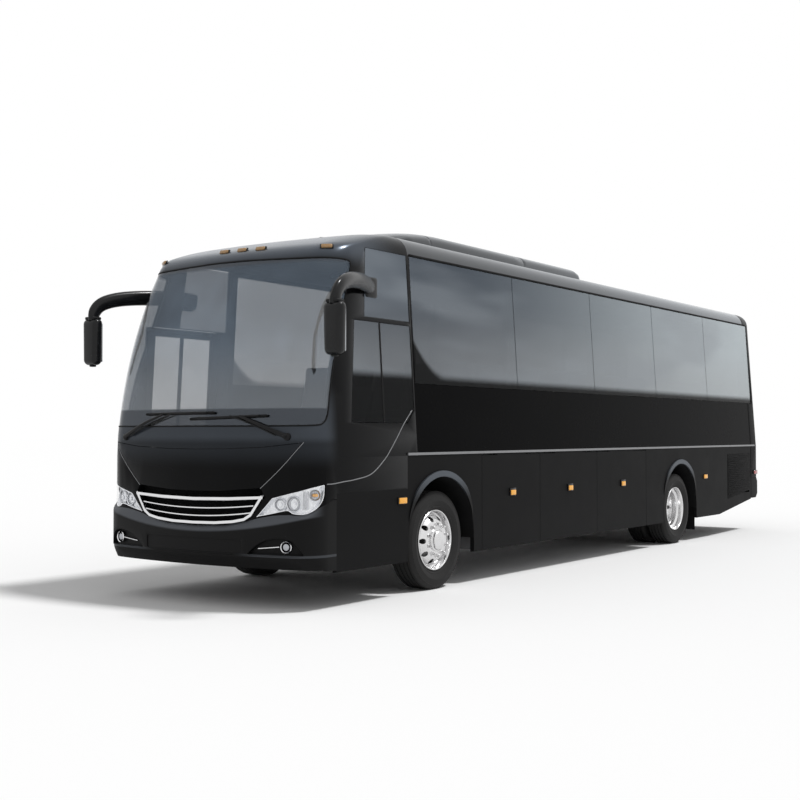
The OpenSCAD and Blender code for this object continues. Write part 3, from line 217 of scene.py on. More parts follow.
class CoachWheels(bpy.types.PropertyGroup):
    """Sizes of the wheels."""
    tyre_radius: FloatProperty(
        name="Tyre", description="Outer radius of a tyre", default=0.479, unit="LENGTH")
    tyre_half: FloatProperty(
        name="Half section", description="Half the width of a tyre", default=0.138, unit="LENGTH")
    track_x: FloatProperty(
        name="Outer wheel", description="Middle of the outer tyre from the middle of the coach",
        default=1.062, unit="LENGTH")
    twin_pitch: FloatProperty(
        name="Twin pitch", description="Twin tyres, centre to centre", default=0.312, unit="LENGTH")
    hand_holes: IntProperty(
        name="Hand holes", description="Openings round a wheel disc", default=10, min=4, max=14)
    nuts: IntProperty(name="Nuts", description="Wheel nuts on a wheel", default=10, min=6, max=12)
    arch_radius: FloatProperty(
        name="Arch", description="Radius of a wheel arch", default=0.606, unit="LENGTH")
    arch_height: FloatProperty(
        name="Arch centre", description="Height of the arch centre", default=0.494, unit="LENGTH")


class CoachColours(bpy.types.PropertyGroup):
    """Colours of the finishes, as linear values."""
    paint: FloatVectorProperty(
        name="Paint", description="Gloss body paint",
        default=(0.0022, 0.0022, 0.0024), size=3, subtype="COLOR")
    skirt: FloatVectorProperty(
        name="Skirt", description="Satin lower panels",
        default=(0.0048, 0.0048, 0.005), size=3, subtype="COLOR")
    glass: FloatVectorProperty(
        name="Glass", description="Tinted side glass", default=(0.07, 0.09, 0.118), size=3, subtype="COLOR")
    screen: FloatVectorProperty(
        name="Windshield", description="Windshield tint", default=(0.16, 0.20, 0.25), size=3, subtype="COLOR")
    cloth: FloatVectorProperty(
        name="Seat cloth", description="Seat covers", default=(0.16, 0.165, 0.175), size=3, subtype="COLOR")
    red: FloatVectorProperty(
        name="Red", description="Tail lenses", default=(0.42, 0.012, 0.012), size=3, subtype="COLOR")


class CoachStage(bpy.types.PropertyGroup):
    """Floor, light and camera."""
    floor: FloatVectorProperty(
        name="Floor", description="Floor colour", default=(0.97, 0.97, 0.97), size=3, subtype="COLOR")
    fill: FloatProperty(name="Fill", description="Level of the light from all round", default=0.47)
    key: FloatProperty(
        name="Key light", description="Strength of the broad lamp high on the left", default=2.0)
    key_spread: FloatProperty(
        name="Key spread", description="Apparent width of the broad lamp",
        default=math.radians(9), unit="ROTATION")
    lens: FloatProperty(name="Lens", description="Focal length", default=56.445, subtype="DISTANCE_CAMERA")
    place: FloatVectorProperty(
        name="Camera", description="Place of the camera",
        default=(7.8018, -14.0154, 1.5279), size=3, subtype="TRANSLATION")
    turn: FloatVectorProperty(
        name="Turn", description="Turn of the camera",
        default=(math.radians(91.485), 0, math.radians(34.237)), size=3, subtype="EULER")


# Heights and leans of the front's arcs, and the faces of the rear
SCREEN_FOOT, SCREEN_HEAD, CREST = 1.5, 3.12, 3.44
BROW_LEAN, CREST_LEAN = math.radians(70), math.radians(88)
TAIL_Y, TAIL_BUMPER_Y = -5.80, -5.85
TAIL_RADIUS, TAIL_CORNER, TAIL_HEAD = 16.0, 0.10, 0.17
TAIL_LEAN = math.radians(1.2)

# Along the coach: where the skirt starts, and the entry door with its top
SKIRT_FRONT = -5.36
DOOR_FRONT, DOOR_BACK, DOOR_TOP = -5.272, -4.26, 2.566

# Cutters start this far outside the skin and may go through it
OUTSIDE = -0.05
THROUGH = (OUTSIDE, 0.2)

# Radius at the closed tip of a turned body
TIP = 0.0005

# Halvings in a search for a place on a pattern
HALVINGS = 34


# Flat patterns and how they bend onto the body

class Section:
    """Cross-section of the body: upright skirt, leaning wall, roof shoulder and crown."""

    def __init__(self, body):
        self.half, self.belt, self.lean = body.half_width, body.waist, body.lean
        self.shoulder, self.crown = body.shoulder_radius, body.crown_radius
        normal = Vector((math.cos(self.lean), math.sin(self.lean)))
        rise = Vector((-normal.y, normal.x))
        reach = normal.x * self.half + normal.y * self.belt - self.shoulder
        self.crown_z = body.roof_height - self.crown
        offset = normal * reach - Vector((0, self.crown_z))
        along = offset.dot(rise)
        run = math.sqrt(along ** 2 - offset.dot(offset) + (self.crown - self.shoulder) ** 2) - along
        self.centre = normal * reach + rise * run
        self.spread = math.atan2(self.centre.x, self.centre.y - self.crown_z)
        self.eave = self.centre.y + self.shoulder * math.sin(self.lean)
        self.brink = self.eave + self.shoulder * (math.pi / 2 - self.spread - self.lean)
        self.top = self.brink + self.crown * self.spread

    def wall(self, z):
        """Half width of the upright and leaning wall at a height."""
        return self.half - max(0.0, z - self.belt) * math.tan(self.lean)

    def point(self, v, d):
        """Half width and height at pattern height v, a depth d inside the skin."""
        if v <= self.eave:
            return self.wall(v) - d, v
        if v <= self.brink:
            turn = self.lean + (v - self.eave) / self.shoulder
            reach = self.shoulder - d
            return self.centre.x + reach * math.cos(turn), self.centre.y + reach * math.sin(turn)
        turn = self.spread - (v - self.brink) / self.crown
        return (self.crown - d) * math.sin(turn), self.crown_z + (self.crown - d) * math.cos(turn)

    def heights(self):
        """Pattern heights at which a bent panel is divided."""
        steps = [self.belt]
        steps += spaced(self.eave - 0.12, self.brink + 0.02, 0.03)
        return steps + spaced(self.brink + 0.1, self.top - 0.05, 0.14)

    def barrel(self, y, s, d):
        """Roof pattern: y along the coach, s across from the crown."""
        x, z = self.point(self.top - abs(s), d)
        return Vector((math.copysign(x, s), y, z))

    def flank(self, y, z, d):
        """Left side pattern: y along the coach, z up."""
        x, z = self.point(z, d)
        return Vector((x, y, z))


def clamped(value):
    """Value held between 0 and 1."""
    return max(0.0, min(1.0, value))


def rect(left, low, right, high):
    """Corners of a rectangle, round from its lower left."""
    return [(left, low), (right, low), (right, high), (left, high)]


def spaced(low, high, step):
    """Values between two limits, no further apart than a step."""
    count = max(1, math.ceil((high - low) / step))
    return [low + (high - low) * k / count for k in range(count + 1)]


def seek(value, low, high, target):
    """Place between low and high at which a rising value meets the target."""
    for _ in range(HALVINGS):
        mid = (low + high) / 2
        low, high = (mid, high) if value(mid) < target else (low, mid)
    return (low + high) / 2


class End:
    """Flat pattern of a coach end: u round it from the middle, v up, d inward."""

    def __init__(self, section, face, radius, corner, limit, flip=1):
        self.section, self.face, self.radius, self.corner = section, face, radius, corner
        self.limit, self.flip = limit, flip
        self.first = math.asin((section.half - corner) / (radius - corner))
        self.arc = radius * self.first
        self.side = self.arc + corner * (math.pi / 2 - self.first)
        reach = radius - corner
        self.start = face(0, section.belt) + radius - math.sqrt(reach ** 2 - (section.half - corner) ** 2)
        self.reach = self.side + limit - self.start

    def place(self, u, v, d):
        w, z = self.section.point(v, d)
        face = self.face(u, self.section.point(v, 0)[1]) + d
        r = self.radius - d
        c = max(1e-4, min(self.corner - d, 0.6 * w))
        run = abs(u)
        turn = run / self.radius if run <= self.arc else self.first + (run - self.arc) / self.corner
        turn = min(turn, math.pi / 2)
        if turn <= math.asin(clamped((w - c) / (r - c))):
            x, y = r * math.sin(turn), face + r - r * math.cos(turn)
        else:
            x = w - c + c * math.sin(turn)
            y = face + r - math.sqrt((r - c) ** 2 - (w - c) ** 2) - c * math.cos(turn)
        if run > self.side:
            y += (self.limit - y) * (run - self.side) / (self.reach - self.side)
        return Vector((math.copysign(x, u), self.flip * y, z))

    def facing(self, u, v, d, deeper):
        """Spot at a depth, and the direction outward from it."""
        spot = self.place(u, v, d)
        return spot, spot - self.place(u, v, deeper)

    def across(self, x, v):
        """u of a point on the face, given how far it is from the middle."""
        u = seek(lambda t: self.place(t, v, 0).x, 0, self.side, abs(x))
        return math.copysign(u, x)

    def along(self, y, v):
        """u of a point on the corner or the side, given its place along the coach."""
        return seek(lambda t: self.flip * self.place(t, v, 0).y, 0, self.reach + 0.4, self.flip * y)

    def on_face(self, points, step=0.05):
        """Outline seen from the end, taken onto the pattern."""
        return [(self.across(x, z), z) for x, z in divided(points, step)]

    def on_side(self, points, sign=1, step=0.05):
        """Outline seen from the side, taken onto the pattern."""
        return [(sign * self.along(y, z), z) for y, z in divided(points, step)]

    def stations(self):
        """Places round the end at which a bent panel is divided."""
        half = spaced(0.08, self.arc, 0.09) + spaced(self.arc + 0.03, self.side, 0.035)
        half.append(self.side + 0.2)
        return [-u for u in reversed(half)] + [0.0] + half


def divided(points, step):
    """Closed outline with its long edges divided."""
    made = []
    for k, start in enumerate(points):
        end = points[(k + 1) % len(points)]
        count = max(1, math.ceil(math.dist(start, end) / step))
        made += [tuple(start[i] + (end[i] - start[i]) * n / count for i in (0, 1))
                 for n in range(count)]
    return made


def mirrored(half):
    """Outline from its right half, listed from the bottom middle upward."""
    return half + [(-x, z) for x, z in reversed(half) if x > 1e-6]


def swept(path, width):
    """Outline of a strip along a path of points."""
    left, right = [], []
    for k, point in enumerate(path):
        a, b = Vector(path[max(0, k - 1)]), Vector(path[min(len(path) - 1, k + 1)])
        across = (b - a).normalized().orthogonal() * width / 2
        left.append(tuple(Vector(point) + across))
        right.append(tuple(Vector(point) - across))
    return left + right[::-1]


def eased(points, steps=8):
    """Smooth path through the points."""
    made = []
    for k in range(len(points) - 1):
        p = [Vector(points[max(0, min(len(points) - 1, k + i))]) for i in (-1, 0, 1, 2)]
        for n in range(steps):
            t = n / steps
            square = 2 * p[0] - 5 * p[1] + 4 * p[2] - p[3]
            cube = 3 * p[1] - p[0] - 3 * p[2] + p[3]
            made.append(tuple(0.5 * (2 * p[1] + (p[2] - p[0]) * t + square * t * t + cube * t ** 3)))
    return made + [tuple(points[-1])]


# Mesh helpers

def rounded(bm, geom, offset, segments, affect="EDGES"):
    """Rounds edges or corners to an arc."""
    bmesh.ops.bevel(bm, geom=geom, offset=offset, offset_type="OFFSET", affect=affect, segments=segments,
                    profile=0.5, material=-1, clamp_overlap=True)


def border(bm, width):
    """Sets a border off inside the faces and lists its faces."""
    made = bmesh.ops.inset_region(bm, faces=bm.faces[:], thickness=width, use_boundary=True,
                                  use_even_offset=True)
    return made["faces"]


def thicken(bm, height):
    """Lifts a copy of a sheet and closes the sides."""
    made = bmesh.ops.extrude_face_region(bm, geom=bm.faces[:])
    lifted = [g for g in made["geom"] if isinstance(g, bmesh.types.BMVert)]
    bmesh.ops.translate(bm, verts=lifted, vec=(0, 0, height))


def sharp_edges(bm, angle):
    """Edges between two faces that meet at more than an angle."""
    return [e for e in bm.edges if len(e.link_faces) == 2 and e.calc_face_angle(0) > angle]


def plate(points, near, far, corner=0.0, shrink=0.0, ring=0.0):
    """Prism on a flat outline between two depths; ring leaves only a border of that width."""
    bm = bmesh.new()
    bm.faces.new([bm.verts.new((u, v, near)) for u, v in points])
    if corner:
        sharp = [v for v in bm.verts if v.calc_edge_angle(0) > math.radians(25)]
        rounded(bm, sharp, corner, 5, "VERTICES")
    if shrink:
        bmesh.ops.delete(bm, geom=border(bm, shrink), context="FACES")
    if ring:
        made = border(bm, ring)
        inner = [f for f in bm.faces if f not in made]
        bmesh.ops.delete(bm, geom=inner, context="FACES")
    thicken(bm, far - near)
    bmesh.ops.recalc_face_normals(bm, faces=bm.faces[:])
    return bm


def soften(bm, width, depth=None, segments=2, angle=40):
    """Rounds the sharp edges, or only those at one depth."""
    edges = sharp_edges(bm, math.radians(angle))
    if depth is not None:
        edges = [e for e in edges if all(abs(v.co.z - depth) < 1e-5 for v in e.verts)]
    rounded(bm, edges, width, segments)
    return bm


def slice_up(bm, axis, stations):
    """Divides a mesh by planes across an axis."""
    normal = [0, 0, 0]
    normal[axis] = 1
    values = [v.co[axis] for v in bm.verts]
    low, high = min(values), max(values)
    for station in stations:
        if low + 1e-4 < station < high - 1e-4:
            spot = [0, 0, 0]
            spot[axis] = station
            bmesh.ops.bisect_plane(bm, geom=bm.verts[:] + bm.edges[:] + bm.faces[:], dist=1e-5,
                                   plane_co=spot, plane_no=normal)
    return bm


def bend(bm, place):
    """Moves a flat pattern onto the body."""
    for vert in bm.verts:
        vert.co = place(*vert.co)
    return bm


def temporary(bm, name):
    """Object that stands in the scene only while a cut is made."""
    mesh = bpy.data.meshes.new(name)
    bm.to_mesh(mesh)
    bm.free()
    made = bpy.data.objects.new(name, mesh)
    bpy.context.scene.collection.objects.link(made)
    return made


def carve(bm, cutters):
    """Takes each cutter out of a mesh."""
    base = temporary(bm, "blank")
    tools = [temporary(c, "cutter") for c in cutters]
    for tool in tools:
        cut = base.modifiers.new("cut", "BOOLEAN")
        cut.operation, cut.solver, cut.object = "DIFFERENCE", "EXACT", tool
    bpy.context.view_layer.update()
    graph = bpy.context.evaluated_depsgraph_get()
    mesh = bpy.data.meshes.new_from_object(base.evaluated_get(graph))
    made = bmesh.new()
    made.from_mesh(mesh)
    for thing in [base] + tools:
        old = thing.data
        bpy.data.objects.remove(thing)
        bpy.data.meshes.remove(old)
    bpy.data.meshes.remove(mesh)
    return made


def formed(end, bm, soft=0.0, depth=None):
    """Rounds, divides and bends a flat panel of an end."""
    if soft:
        soften(bm, soft, depth)
    slice_up(bm, 0, end.stations())
    slice_up(bm, 1, end.section.heights() + spaced(SCREEN_FOOT, SCREEN_HEAD, 0.12))
    return bend(bm, end.place)


def joined(parts):
    """One mesh from several, with the finish of each part kept as a slot number."""
    bm = bmesh.new()
    for part, index in parts:
        for face in part.faces:
            face.material_index = index
        mesh = bpy.data.meshes.new("part")
        part.to_mesh(mesh)
        part.free()
        bm.from_mesh(mesh)
        bpy.data.meshes.remove(mesh)
    return bm


def spun(profile, centre, steps=72, closed=True):
    """Body turned about an axis along X from a profile of (radius, offset)."""
    bm = bmesh.new()
    verts = [bm.verts.new((x, 0, r)) for r, x in profile]
    pairs = list(zip(verts, verts[1:])) + ([(verts[-1], verts[0])] if closed else [])
    edges = [bm.edges.new(pair) for pair in pairs]
    bmesh.ops.spin(bm, geom=verts + edges, cent=(0, 0, 0), axis=(1, 0, 0), angle=2 * math.pi,
                   steps=steps, use_merge=True, use_duplicate=False)
    bmesh.ops.remove_doubles(bm, verts=bm.verts[:], dist=1e-5)
    bmesh.ops.translate(bm, verts=bm.verts[:], vec=centre)
    bmesh.ops.recalc_face_normals(bm, faces=bm.faces[:])
    return bm


def aimed(bm, spot, outward):
    """Takes a body turned about X to a spot, with its X along a direction and its Z kept upward."""
    ahead = Vector(outward).normalized()
    side = Vector((0, 0, 1)).cross(ahead).normalized()
    turn = Matrix((ahead, side, ahead.cross(side))).transposed().to_4x4()
    bmesh.ops.transform(bm, matrix=Matrix.Translation(spot) @ turn, verts=bm.verts[:])
    return bm


def turned(profile, spot, outward, steps, closed=False):
    """Body turned about the line outward from a spot."""
    return aimed(spun(profile, (0, 0, 0), steps, closed), spot, outward)


def flipped(profile, s):
    """Profile of (radius, offset) that faces the left (1) or the right (-1)."""
    return [(p, s * q) for p, q in profile]


def both_sides(bm):
    """Adds the mirror image on the right."""
    bmesh.ops.mirror(bm, geom=bm.verts[:] + bm.edges[:] + bm.faces[:], axis="X", merge_dist=-1)
    return bm


def rounded_box(size, centre, radius, segments=3):
    """Box with all its edges rounded."""
    bm = bmesh.new()
    bmesh.ops.create_cube(bm, size=1, matrix=Matrix.Translation(centre) @ Matrix.Diagonal((*size, 1)))
    rounded(bm, bm.edges[:], radius, segments)
    return bm


def tube(path, radius, squash=1.0, sides=14):
    """Pipe along a path of points, with closed ends."""
    bm = bmesh.new()
    rings = []
    for k, point in enumerate(path):
        a, b = Vector(path[max(0, k - 1)]), Vector(path[min(len(path) - 1, k + 1)])
        size = radius[k] if isinstance(radius, (list, tuple)) else radius
        frame_at = (b - a).to_track_quat("Z", "Y").to_matrix().to_4x4()
        flat = Matrix.Diagonal((squash, 1, 1, 1))
        ring = bmesh.ops.create_circle(bm, cap_ends=False, radius=size, segments=sides,
                                       matrix=Matrix.Translation(point) @ frame_at @ flat)
        rings.append(ring["verts"])
    for a, b in zip(rings, rings[1:]):
        edges = [e for v in a + b for e in v.link_edges
                 if all(w in a for w in e.verts) or all(w in b for w in e.verts)]
        bmesh.ops.bridge_loops(bm, edges=list(dict.fromkeys(edges)))
    for ring in (rings[0], rings[-1]):
        bm.faces.new(ring)
    bmesh.ops.recalc_face_normals(bm, faces=bm.faces[:])
    return bm


def piece(name, bm, finishes, body="body", slot=None, nodes=(), angle=32):
    """Finished object that rides on a body and may stand for solids."""
    bmesh.ops.remove_doubles(bm, verts=bm.verts[:], dist=1e-4)
    bmesh.ops.recalc_face_normals(bm, faces=bm.faces[:])
    for face in bm.faces:
        face.smooth = True
    mesh = bpy.data.meshes.new(name)
    bm.to_mesh(mesh)
    bm.free()
    for finish in [finishes] if isinstance(finishes, str) else finishes:
        mesh.materials.append(finish_of(finish))
    mesh.set_sharp_from_angle(angle=math.radians(angle))
    made = bpy.data.objects.new(name, mesh)
    bpy.context.scene.collection.objects.link(made)
    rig.ride(made, body)
    if nodes:
        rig.replaces(made, *nodes)
    if slot:
        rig.slot(made, slot)
    return made


def dress(finish, *nodes):
    """Gives CAD nodes a finish."""
    for name in nodes:
        node = frame["nodes"][name]
        if not node.material_slots:
            node.data.materials.append(None)
        for place in node.material_slots:
            place.material = finish_of(finish)


# Finishes

class Socket:
    """Output of a shader node that can be used in sums."""

    def __init__(self, finish, output):
        self.finish, self.output = finish, output

    def __add__(self, other):
        return self.finish.math("ADD", self, other)

    def __sub__(self, other):
        return self.finish.math("SUBTRACT", self, other)

    def __rsub__(self, other):
        return self.finish.math("SUBTRACT", other, self)

    def __mul__(self, other):
        return self.finish.math("MULTIPLY", self, other)

    __radd__ = __add__
    __rmul__ = __mul__


class Finish:
    """Material whose varying sockets come from nodes."""

    def __init__(self, name):
        self.material = bpy.data.materials.new(name)
        self.material.use_nodes = True
        self.tree = self.material.node_tree
        self.tree.nodes.clear()
        self.shader = self.tree.nodes.new("ShaderNodeBsdfPrincipled")
        out = self.tree.nodes.new("ShaderNodeOutputMaterial")
        self.tree.links.new(self.shader.outputs[0], out.inputs[0])
        self.at = Socket(self, self.tree.nodes.new("ShaderNodeTexCoord").outputs["Object"])

    def put(self, socket, value):
        if isinstance(value, Socket):
            self.tree.links.new(value.output, socket)
        elif socket.type == "RGBA" and len(value) == 3:
            socket.default_value = (*value, 1)
        else:
            socket.default_value = value

    def node(self, kind, settings=None, output=0, **inputs):
        """Any node, by its type, its settings and the values or links of its sockets."""
        made = self.tree.nodes.new(kind)
        for key, value in (settings or {}).items():
            setattr(made, key, value)
        sockets = {s.identifier: s for s in made.inputs}
        for key, value in inputs.items():
            self.put(sockets[key], value)
        return Socket(self, made.outputs[output])

    def math(self, operation, a, b=0.0, c=0.0):
        made = self.tree.nodes.new("ShaderNodeMath")
        made.operation = operation
        for socket, value in zip(made.inputs, (a, b, c)):
            self.put(socket, value)
        return Socket(self, made.outputs[0])

    def set(self, **values):
        for key, value in values.items():
            self.put(self.shader.inputs[key.replace("_", " ")], value)

    def worn(self, share, a, b, rough, spread, **values):
        """Colour and roughness that vary together, and any other sockets."""
        self.set(Base_Color=self.mix(share, a, b), Roughness=rough + spread * share, **values)

    def noise(self, scale, detail=3.0, rough=0.55, vector=None):
        return self.node("ShaderNodeTexNoise", Scale=scale, Detail=detail, Roughness=rough,
                         Vector=vector or self.at)

    def cells(self, scale, feature="F1", vector=None):
        return self.node("ShaderNodeTexVoronoi", {"feature": feature}, Scale=scale,
                         Vector=vector or self.at)

    def stretched(self, x, y, z):
        return self.node("ShaderNodeMapping", Scale=(x, y, z), Vector=self.at)

    def axis(self, index):
        return self.node("ShaderNodeSeparateXYZ", output=index, Vector=self.at)

    def fade(self, value, low, high, start=0.0, end=1.0):
        made = self.tree.nodes.new("ShaderNodeMapRange")
        made.interpolation_type = "SMOOTHSTEP"
        for socket, given in zip(made.inputs, (value, low, high, start, end)):
            self.put(socket, given)
        return Socket(self, made.outputs[0])

    def mix(self, share, a, b):
        return self.node("ShaderNodeMix", {"data_type": "RGBA"}, output=2, Factor_Float=share,
                         A_Color=a, B_Color=b)

    def bump(self, height, strength, distance):
        return self.node("ShaderNodeBump", Strength=strength, Distance=distance, Height=height)

    def sprayed(self, scale):
        """Faint unevenness of sprayed paint."""
        return self.bump(self.noise(scale, 1.0), 0.03, 0.0006)

    def pitted(self):
        """Fine grain of satin paint."""
        return self.bump(self.noise(320.0, 2.0), 0.05, 0.0006)


COAT_TINT = (0.82, 0.9, 1.0)


def shade(colour, level=1.0):
    """A colour at another level."""
    return tuple(level * v for v in colour)


def gloss_paint(f, c):
    """Deep gloss paint, with more sheen higher up."""
    dust = f.noise(2.2, 4.0, 0.6)
    f.set(Base_Color=f.mix(dust * 0.6, shade(c.paint), shade(c.paint, 1.8)), Roughness=0.22 + 0.1 * dust,
          Specular_IOR_Level=0.012, Coat_Weight=0.3 * f.fade(f.axis(2), 2.1, 3.1), Coat_Roughness=0.05,
          Coat_Tint=COAT_TINT, Normal=f.sprayed(260.0))


def front_paint(f, c):
    """Gloss paint of the front, with a painted pale reflection on the brow and a faint painted one on the cowl."""
    y, z = f.axis(1), f.axis(2)
    # Painted reflection: a faint one on the cowl and a pale one on the brow, mixed into the base colour and metallic
    cowl = 0.2 * f.fade(z, 1.2, 1.4) + 0.3 * f.fade(z, 1.42, 1.5)
    cowl = f.fade(y, -5.3, -5.5) * (cowl * f.fade(z, 2.0, 1.7))
    sheen = cowl + 0.8 * f.fade(z, 3.0, 3.2) * f.fade(y, -4.2, -5.0)
    film = f.noise(1.4, 3.0)
    pale = f.mix(film, (0.075, 0.086, 0.102), (0.105, 0.12, 0.142))
    f.set(Base_Color=f.mix(sheen, shade(c.paint, 1.4), pale), Metallic=0.8 * sheen,
          Roughness=0.2 + 0.1 * film, Specular_IOR_Level=0.04, Coat_Roughness=0.05, Coat_Tint=COAT_TINT,
          Coat_Weight=0.03 + 0.05 * film + 0.2 * f.fade(z, 1.6, 3.0), Normal=f.sprayed(260.0))


def bumper_paint(f, c):
    """Satin bumper with a painted pale reflection on its ledge and a painted highlight on its lip."""
    x, z = f.axis(0), f.axis(2)
    # Painted reflection on the upward-facing ledge and painted highlight on the lip, mixed into the base colour and
    # metallic
    ledge = f.fade(z - 0.1 * x * x, 0.648, 0.672) * f.fade(f.axis(1), -5.5, -5.68)
    lip = 0.7 * f.fade(z, 0.458, 0.465) * f.fade(z, 0.486, 0.479) * f.fade(x * x, 0.2, 0.5)
    sheen = ledge + lip
    dust = f.noise(3.0, 5.0, 0.65)
    satin = f.mix(dust * 0.5, shade(c.skirt), shade(c.skirt, 1.9))
    f.set(Base_Color=f.mix(sheen, satin, (0.078, 0.083, 0.092)), Metallic=0.8 * sheen,
          Roughness=0.42 + 0.14 * dust, Specular_IOR_Level=0.1, Normal=f.pitted())


def flare_paint(f, c):
    """Satin arch flares with a painted pale reflection that grows towards their tops."""
    # Painted reflection, paler higher up the flare
    high = f.fade(f.axis(2), 0.84, 1.12)
    dust = f.noise(4.0, 5.0, 0.65)
    pale = f.mix(dust, (0.075, 0.085, 0.10), (0.10, 0.112, 0.128))
    f.set(Base_Color=f.mix(high, shade(c.skirt), pale), Metallic=0.7 * high,
          Roughness=0.36 + 0.14 * dust, Specular_IOR_Level=0.1)


def roof_paint(f, c):
    """Roof paint, glossier towards the rear."""
    film = f.noise(1.8, 4.0, 0.6)
    f.worn(film, (0.014, 0.0148, 0.016), (0.024, 0.025, 0.027), 0.24, 0.1, Specular_IOR_Level=0.4,
           Coat_Weight=0.3 + 0.6 * f.fade(f.axis(1), -4.5, 5.5) + 0.1 * film, Coat_Roughness=0.1,
           Coat_Tint=(0.85, 0.92, 1.0), Normal=f.sprayed(240.0))


def satin_paint(f, c):
    """Satin lower panels with a little road grime."""
    low = f.fade(f.axis(2), 0.9, 0.32)
    dust = f.noise(3.0, 5.0, 0.65)
    f.set(Base_Color=f.mix(dust * 0.5 + low * 0.3, shade(c.skirt), shade(c.skirt, 1.9)),
          Roughness=0.46 + 0.16 * dust, Specular_IOR_Level=0.05, Normal=f.pitted())


def tinted_glass(f, c):
    """Flush side glass with a painted reflection that grows rearward, over a dark foot that is a painted dark
    reflection and whose swept front corner follows the black surround of the first pane.
    """
    x, y, z = f.axis(0), f.axis(1), f.axis(2)
    # Painted dark reflection along the foot; its swept front corner follows the black surround of the first pane
    sweep = f.math("MAXIMUM", -3.5 - y, 0.0) * f.fade(y, -4.12, -4.06)
    high = f.fade(z - 1.1 * sweep * sweep, 2.02, 2.11)
    film = f.noise(0.7, 3.0, 0.5, f.stretched(1.0, 0.35, 1.6))
    # Painted reflection: grows rearward, is evened out lower down and is broken by painted darker patches
    sheen = f.mix(f.fade(y, -4.2, 6.2), shade(c.glass, 0.8), (0.50, 0.56, 0.59))
    sheen = f.mix(0.4 * f.fade(z, 3.05, 2.1), sheen, (0.36, 0.37, 0.375))
    sheen = f.mix(0.5 * f.fade(film, 0.5, 0.66), sheen, (0.28, 0.31, 0.34))
    upper = f.fade(y, -4.05, -4.12) * f.fade(z, 2.54, 2.58)
    clearer = f.fade(x, 0.0, -0.4) * f.fade(y, -1.6, -2.4) * high
    f.set(Base_Color=f.mix(high, (0.004, 0.0045, 0.005), sheen), Metallic=0.92 * high,
          Roughness=0.02 + 0.03 * film, Specular_IOR_Level=0.06,
          Alpha=0.76 + 0.18 * upper - 0.42 * clearer)


def entry_glass(f, c):
    """Clear glass of the entry door."""
    film = f.noise(0.9, 3.0)
    f.worn(film, (0.10, 0.12, 0.14), (0.14, 0.16, 0.18), 0.02, 0.03, Alpha=0.16 + 0.08 * film,
           Specular_IOR_Level=0.4)


def screen_glass(f, c):
    """Windshield, mirror-like, with a painted reflection that is brighter low down, and a dark printed border along
    its foot and head.
    """
    z = f.axis(2)
    band = f.fade(z, 1.748, 1.728) + f.fade(z, 3.03, 3.07)
    film = f.noise(0.8, 3.0)
    # Painted reflection of the sky, in patches and brighter low down
    sheen = f.mix(f.fade(film, 0.42, 0.62), shade(c.screen, 0.7), shade(c.screen))
    sheen = f.mix(0.55 * f.fade(z, 2.5, 1.75), sheen, (0.32, 0.335, 0.35))
    f.set(Base_Color=f.mix(band, sheen, (0.07, 0.078, 0.09)), Metallic=0.9,
          Roughness=0.02 + 0.03 * film, Alpha=0.44 + 0.4 * band, Specular_IOR_Level=0.3)


def mirror_glass(f, c):
    """Silvered glass."""
    f.set(Base_Color=f.mix(f.noise(4.0), (0.55, 0.57, 0.6), (0.66, 0.68, 0.7)), Metallic=1.0,
          Roughness=0.03 + 0.04 * f.noise(9.0))


def bright_trim(f, c):
    """Polished bright metal."""
    f.worn(f.noise(7.0, 4.0, 0.6), (0.78, 0.78, 0.79), (0.66, 0.66, 0.67), 0.09, 0.14, Metallic=1.0,
           Normal=f.bump(f.noise(140.0, 2.0), 0.04, 0.0005))


def dull_trim(f, c):
    """Brushed bright strip."""
    grain = f.noise(30.0, 3.0, 0.6, f.stretched(6.0, 0.2, 6.0))
    f.worn(grain, (0.17, 0.172, 0.18), (0.27, 0.272, 0.28), 0.28, 0.2, Metallic=0.7)


def polished_wheel(f, c):
    """Polished wheel with a fine grain and brake dust."""
    grime = f.noise(16.0, 5.0, 0.65)
    f.set(Base_Color=f.mix(grime * 0.6, (0.80, 0.80, 0.81), (0.52, 0.51, 0.50)), Metallic=1.0,
          Roughness=0.13 + 0.22 * grime, Normal=f.bump(f.noise(420.0, 1.0), 0.03, 0.0004))


def tyre_rubber(f, c):
    """Tyre rubber with a dusty bloom."""
    dust = f.noise(24.0, 5.0, 0.7)
    f.set(Base_Color=f.mix(dust * 0.7, (0.012, 0.012, 0.0125), (0.030, 0.029, 0.028)),
          Roughness=0.6 + 0.25 * dust, Specular_IOR_Level=0.2,
          Normal=f.bump(f.noise(300.0, 3.0), 0.25, 0.0012))


def moulded_rubber(f, c):
    """Seals and flaps."""
    grain = f.noise(220.0, 3.0)
    f.set(Base_Color=f.mix(f.noise(6.0), (0.005, 0.005, 0.0053), (0.010, 0.010, 0.0103)),
          Roughness=0.55 + 0.2 * grain, Specular_IOR_Level=0.1, Normal=f.bump(grain, 0.15, 0.0006))


def moulded_plastic(f, c):
    """Grained black plastic."""
    f.set(Base_Color=f.mix(f.noise(5.0), (0.007, 0.007, 0.0075), (0.013, 0.013, 0.0135)),
          Roughness=0.4 + 0.15 * f.noise(40.0), Specular_IOR_Level=0.14,
          Normal=f.bump(f.cells(420.0), 0.12, 0.0006))


def gloss_plastic(f, c):
    """Smooth black housings."""
    haze = f.noise(9.0, 3.0)
    f.worn(haze, (0.005, 0.0052, 0.0056), (0.009, 0.0093, 0.01), 0.16, 0.12, Specular_IOR_Level=0.16,
           Coat_Weight=0.1 + 0.12 * haze, Coat_Roughness=0.08)


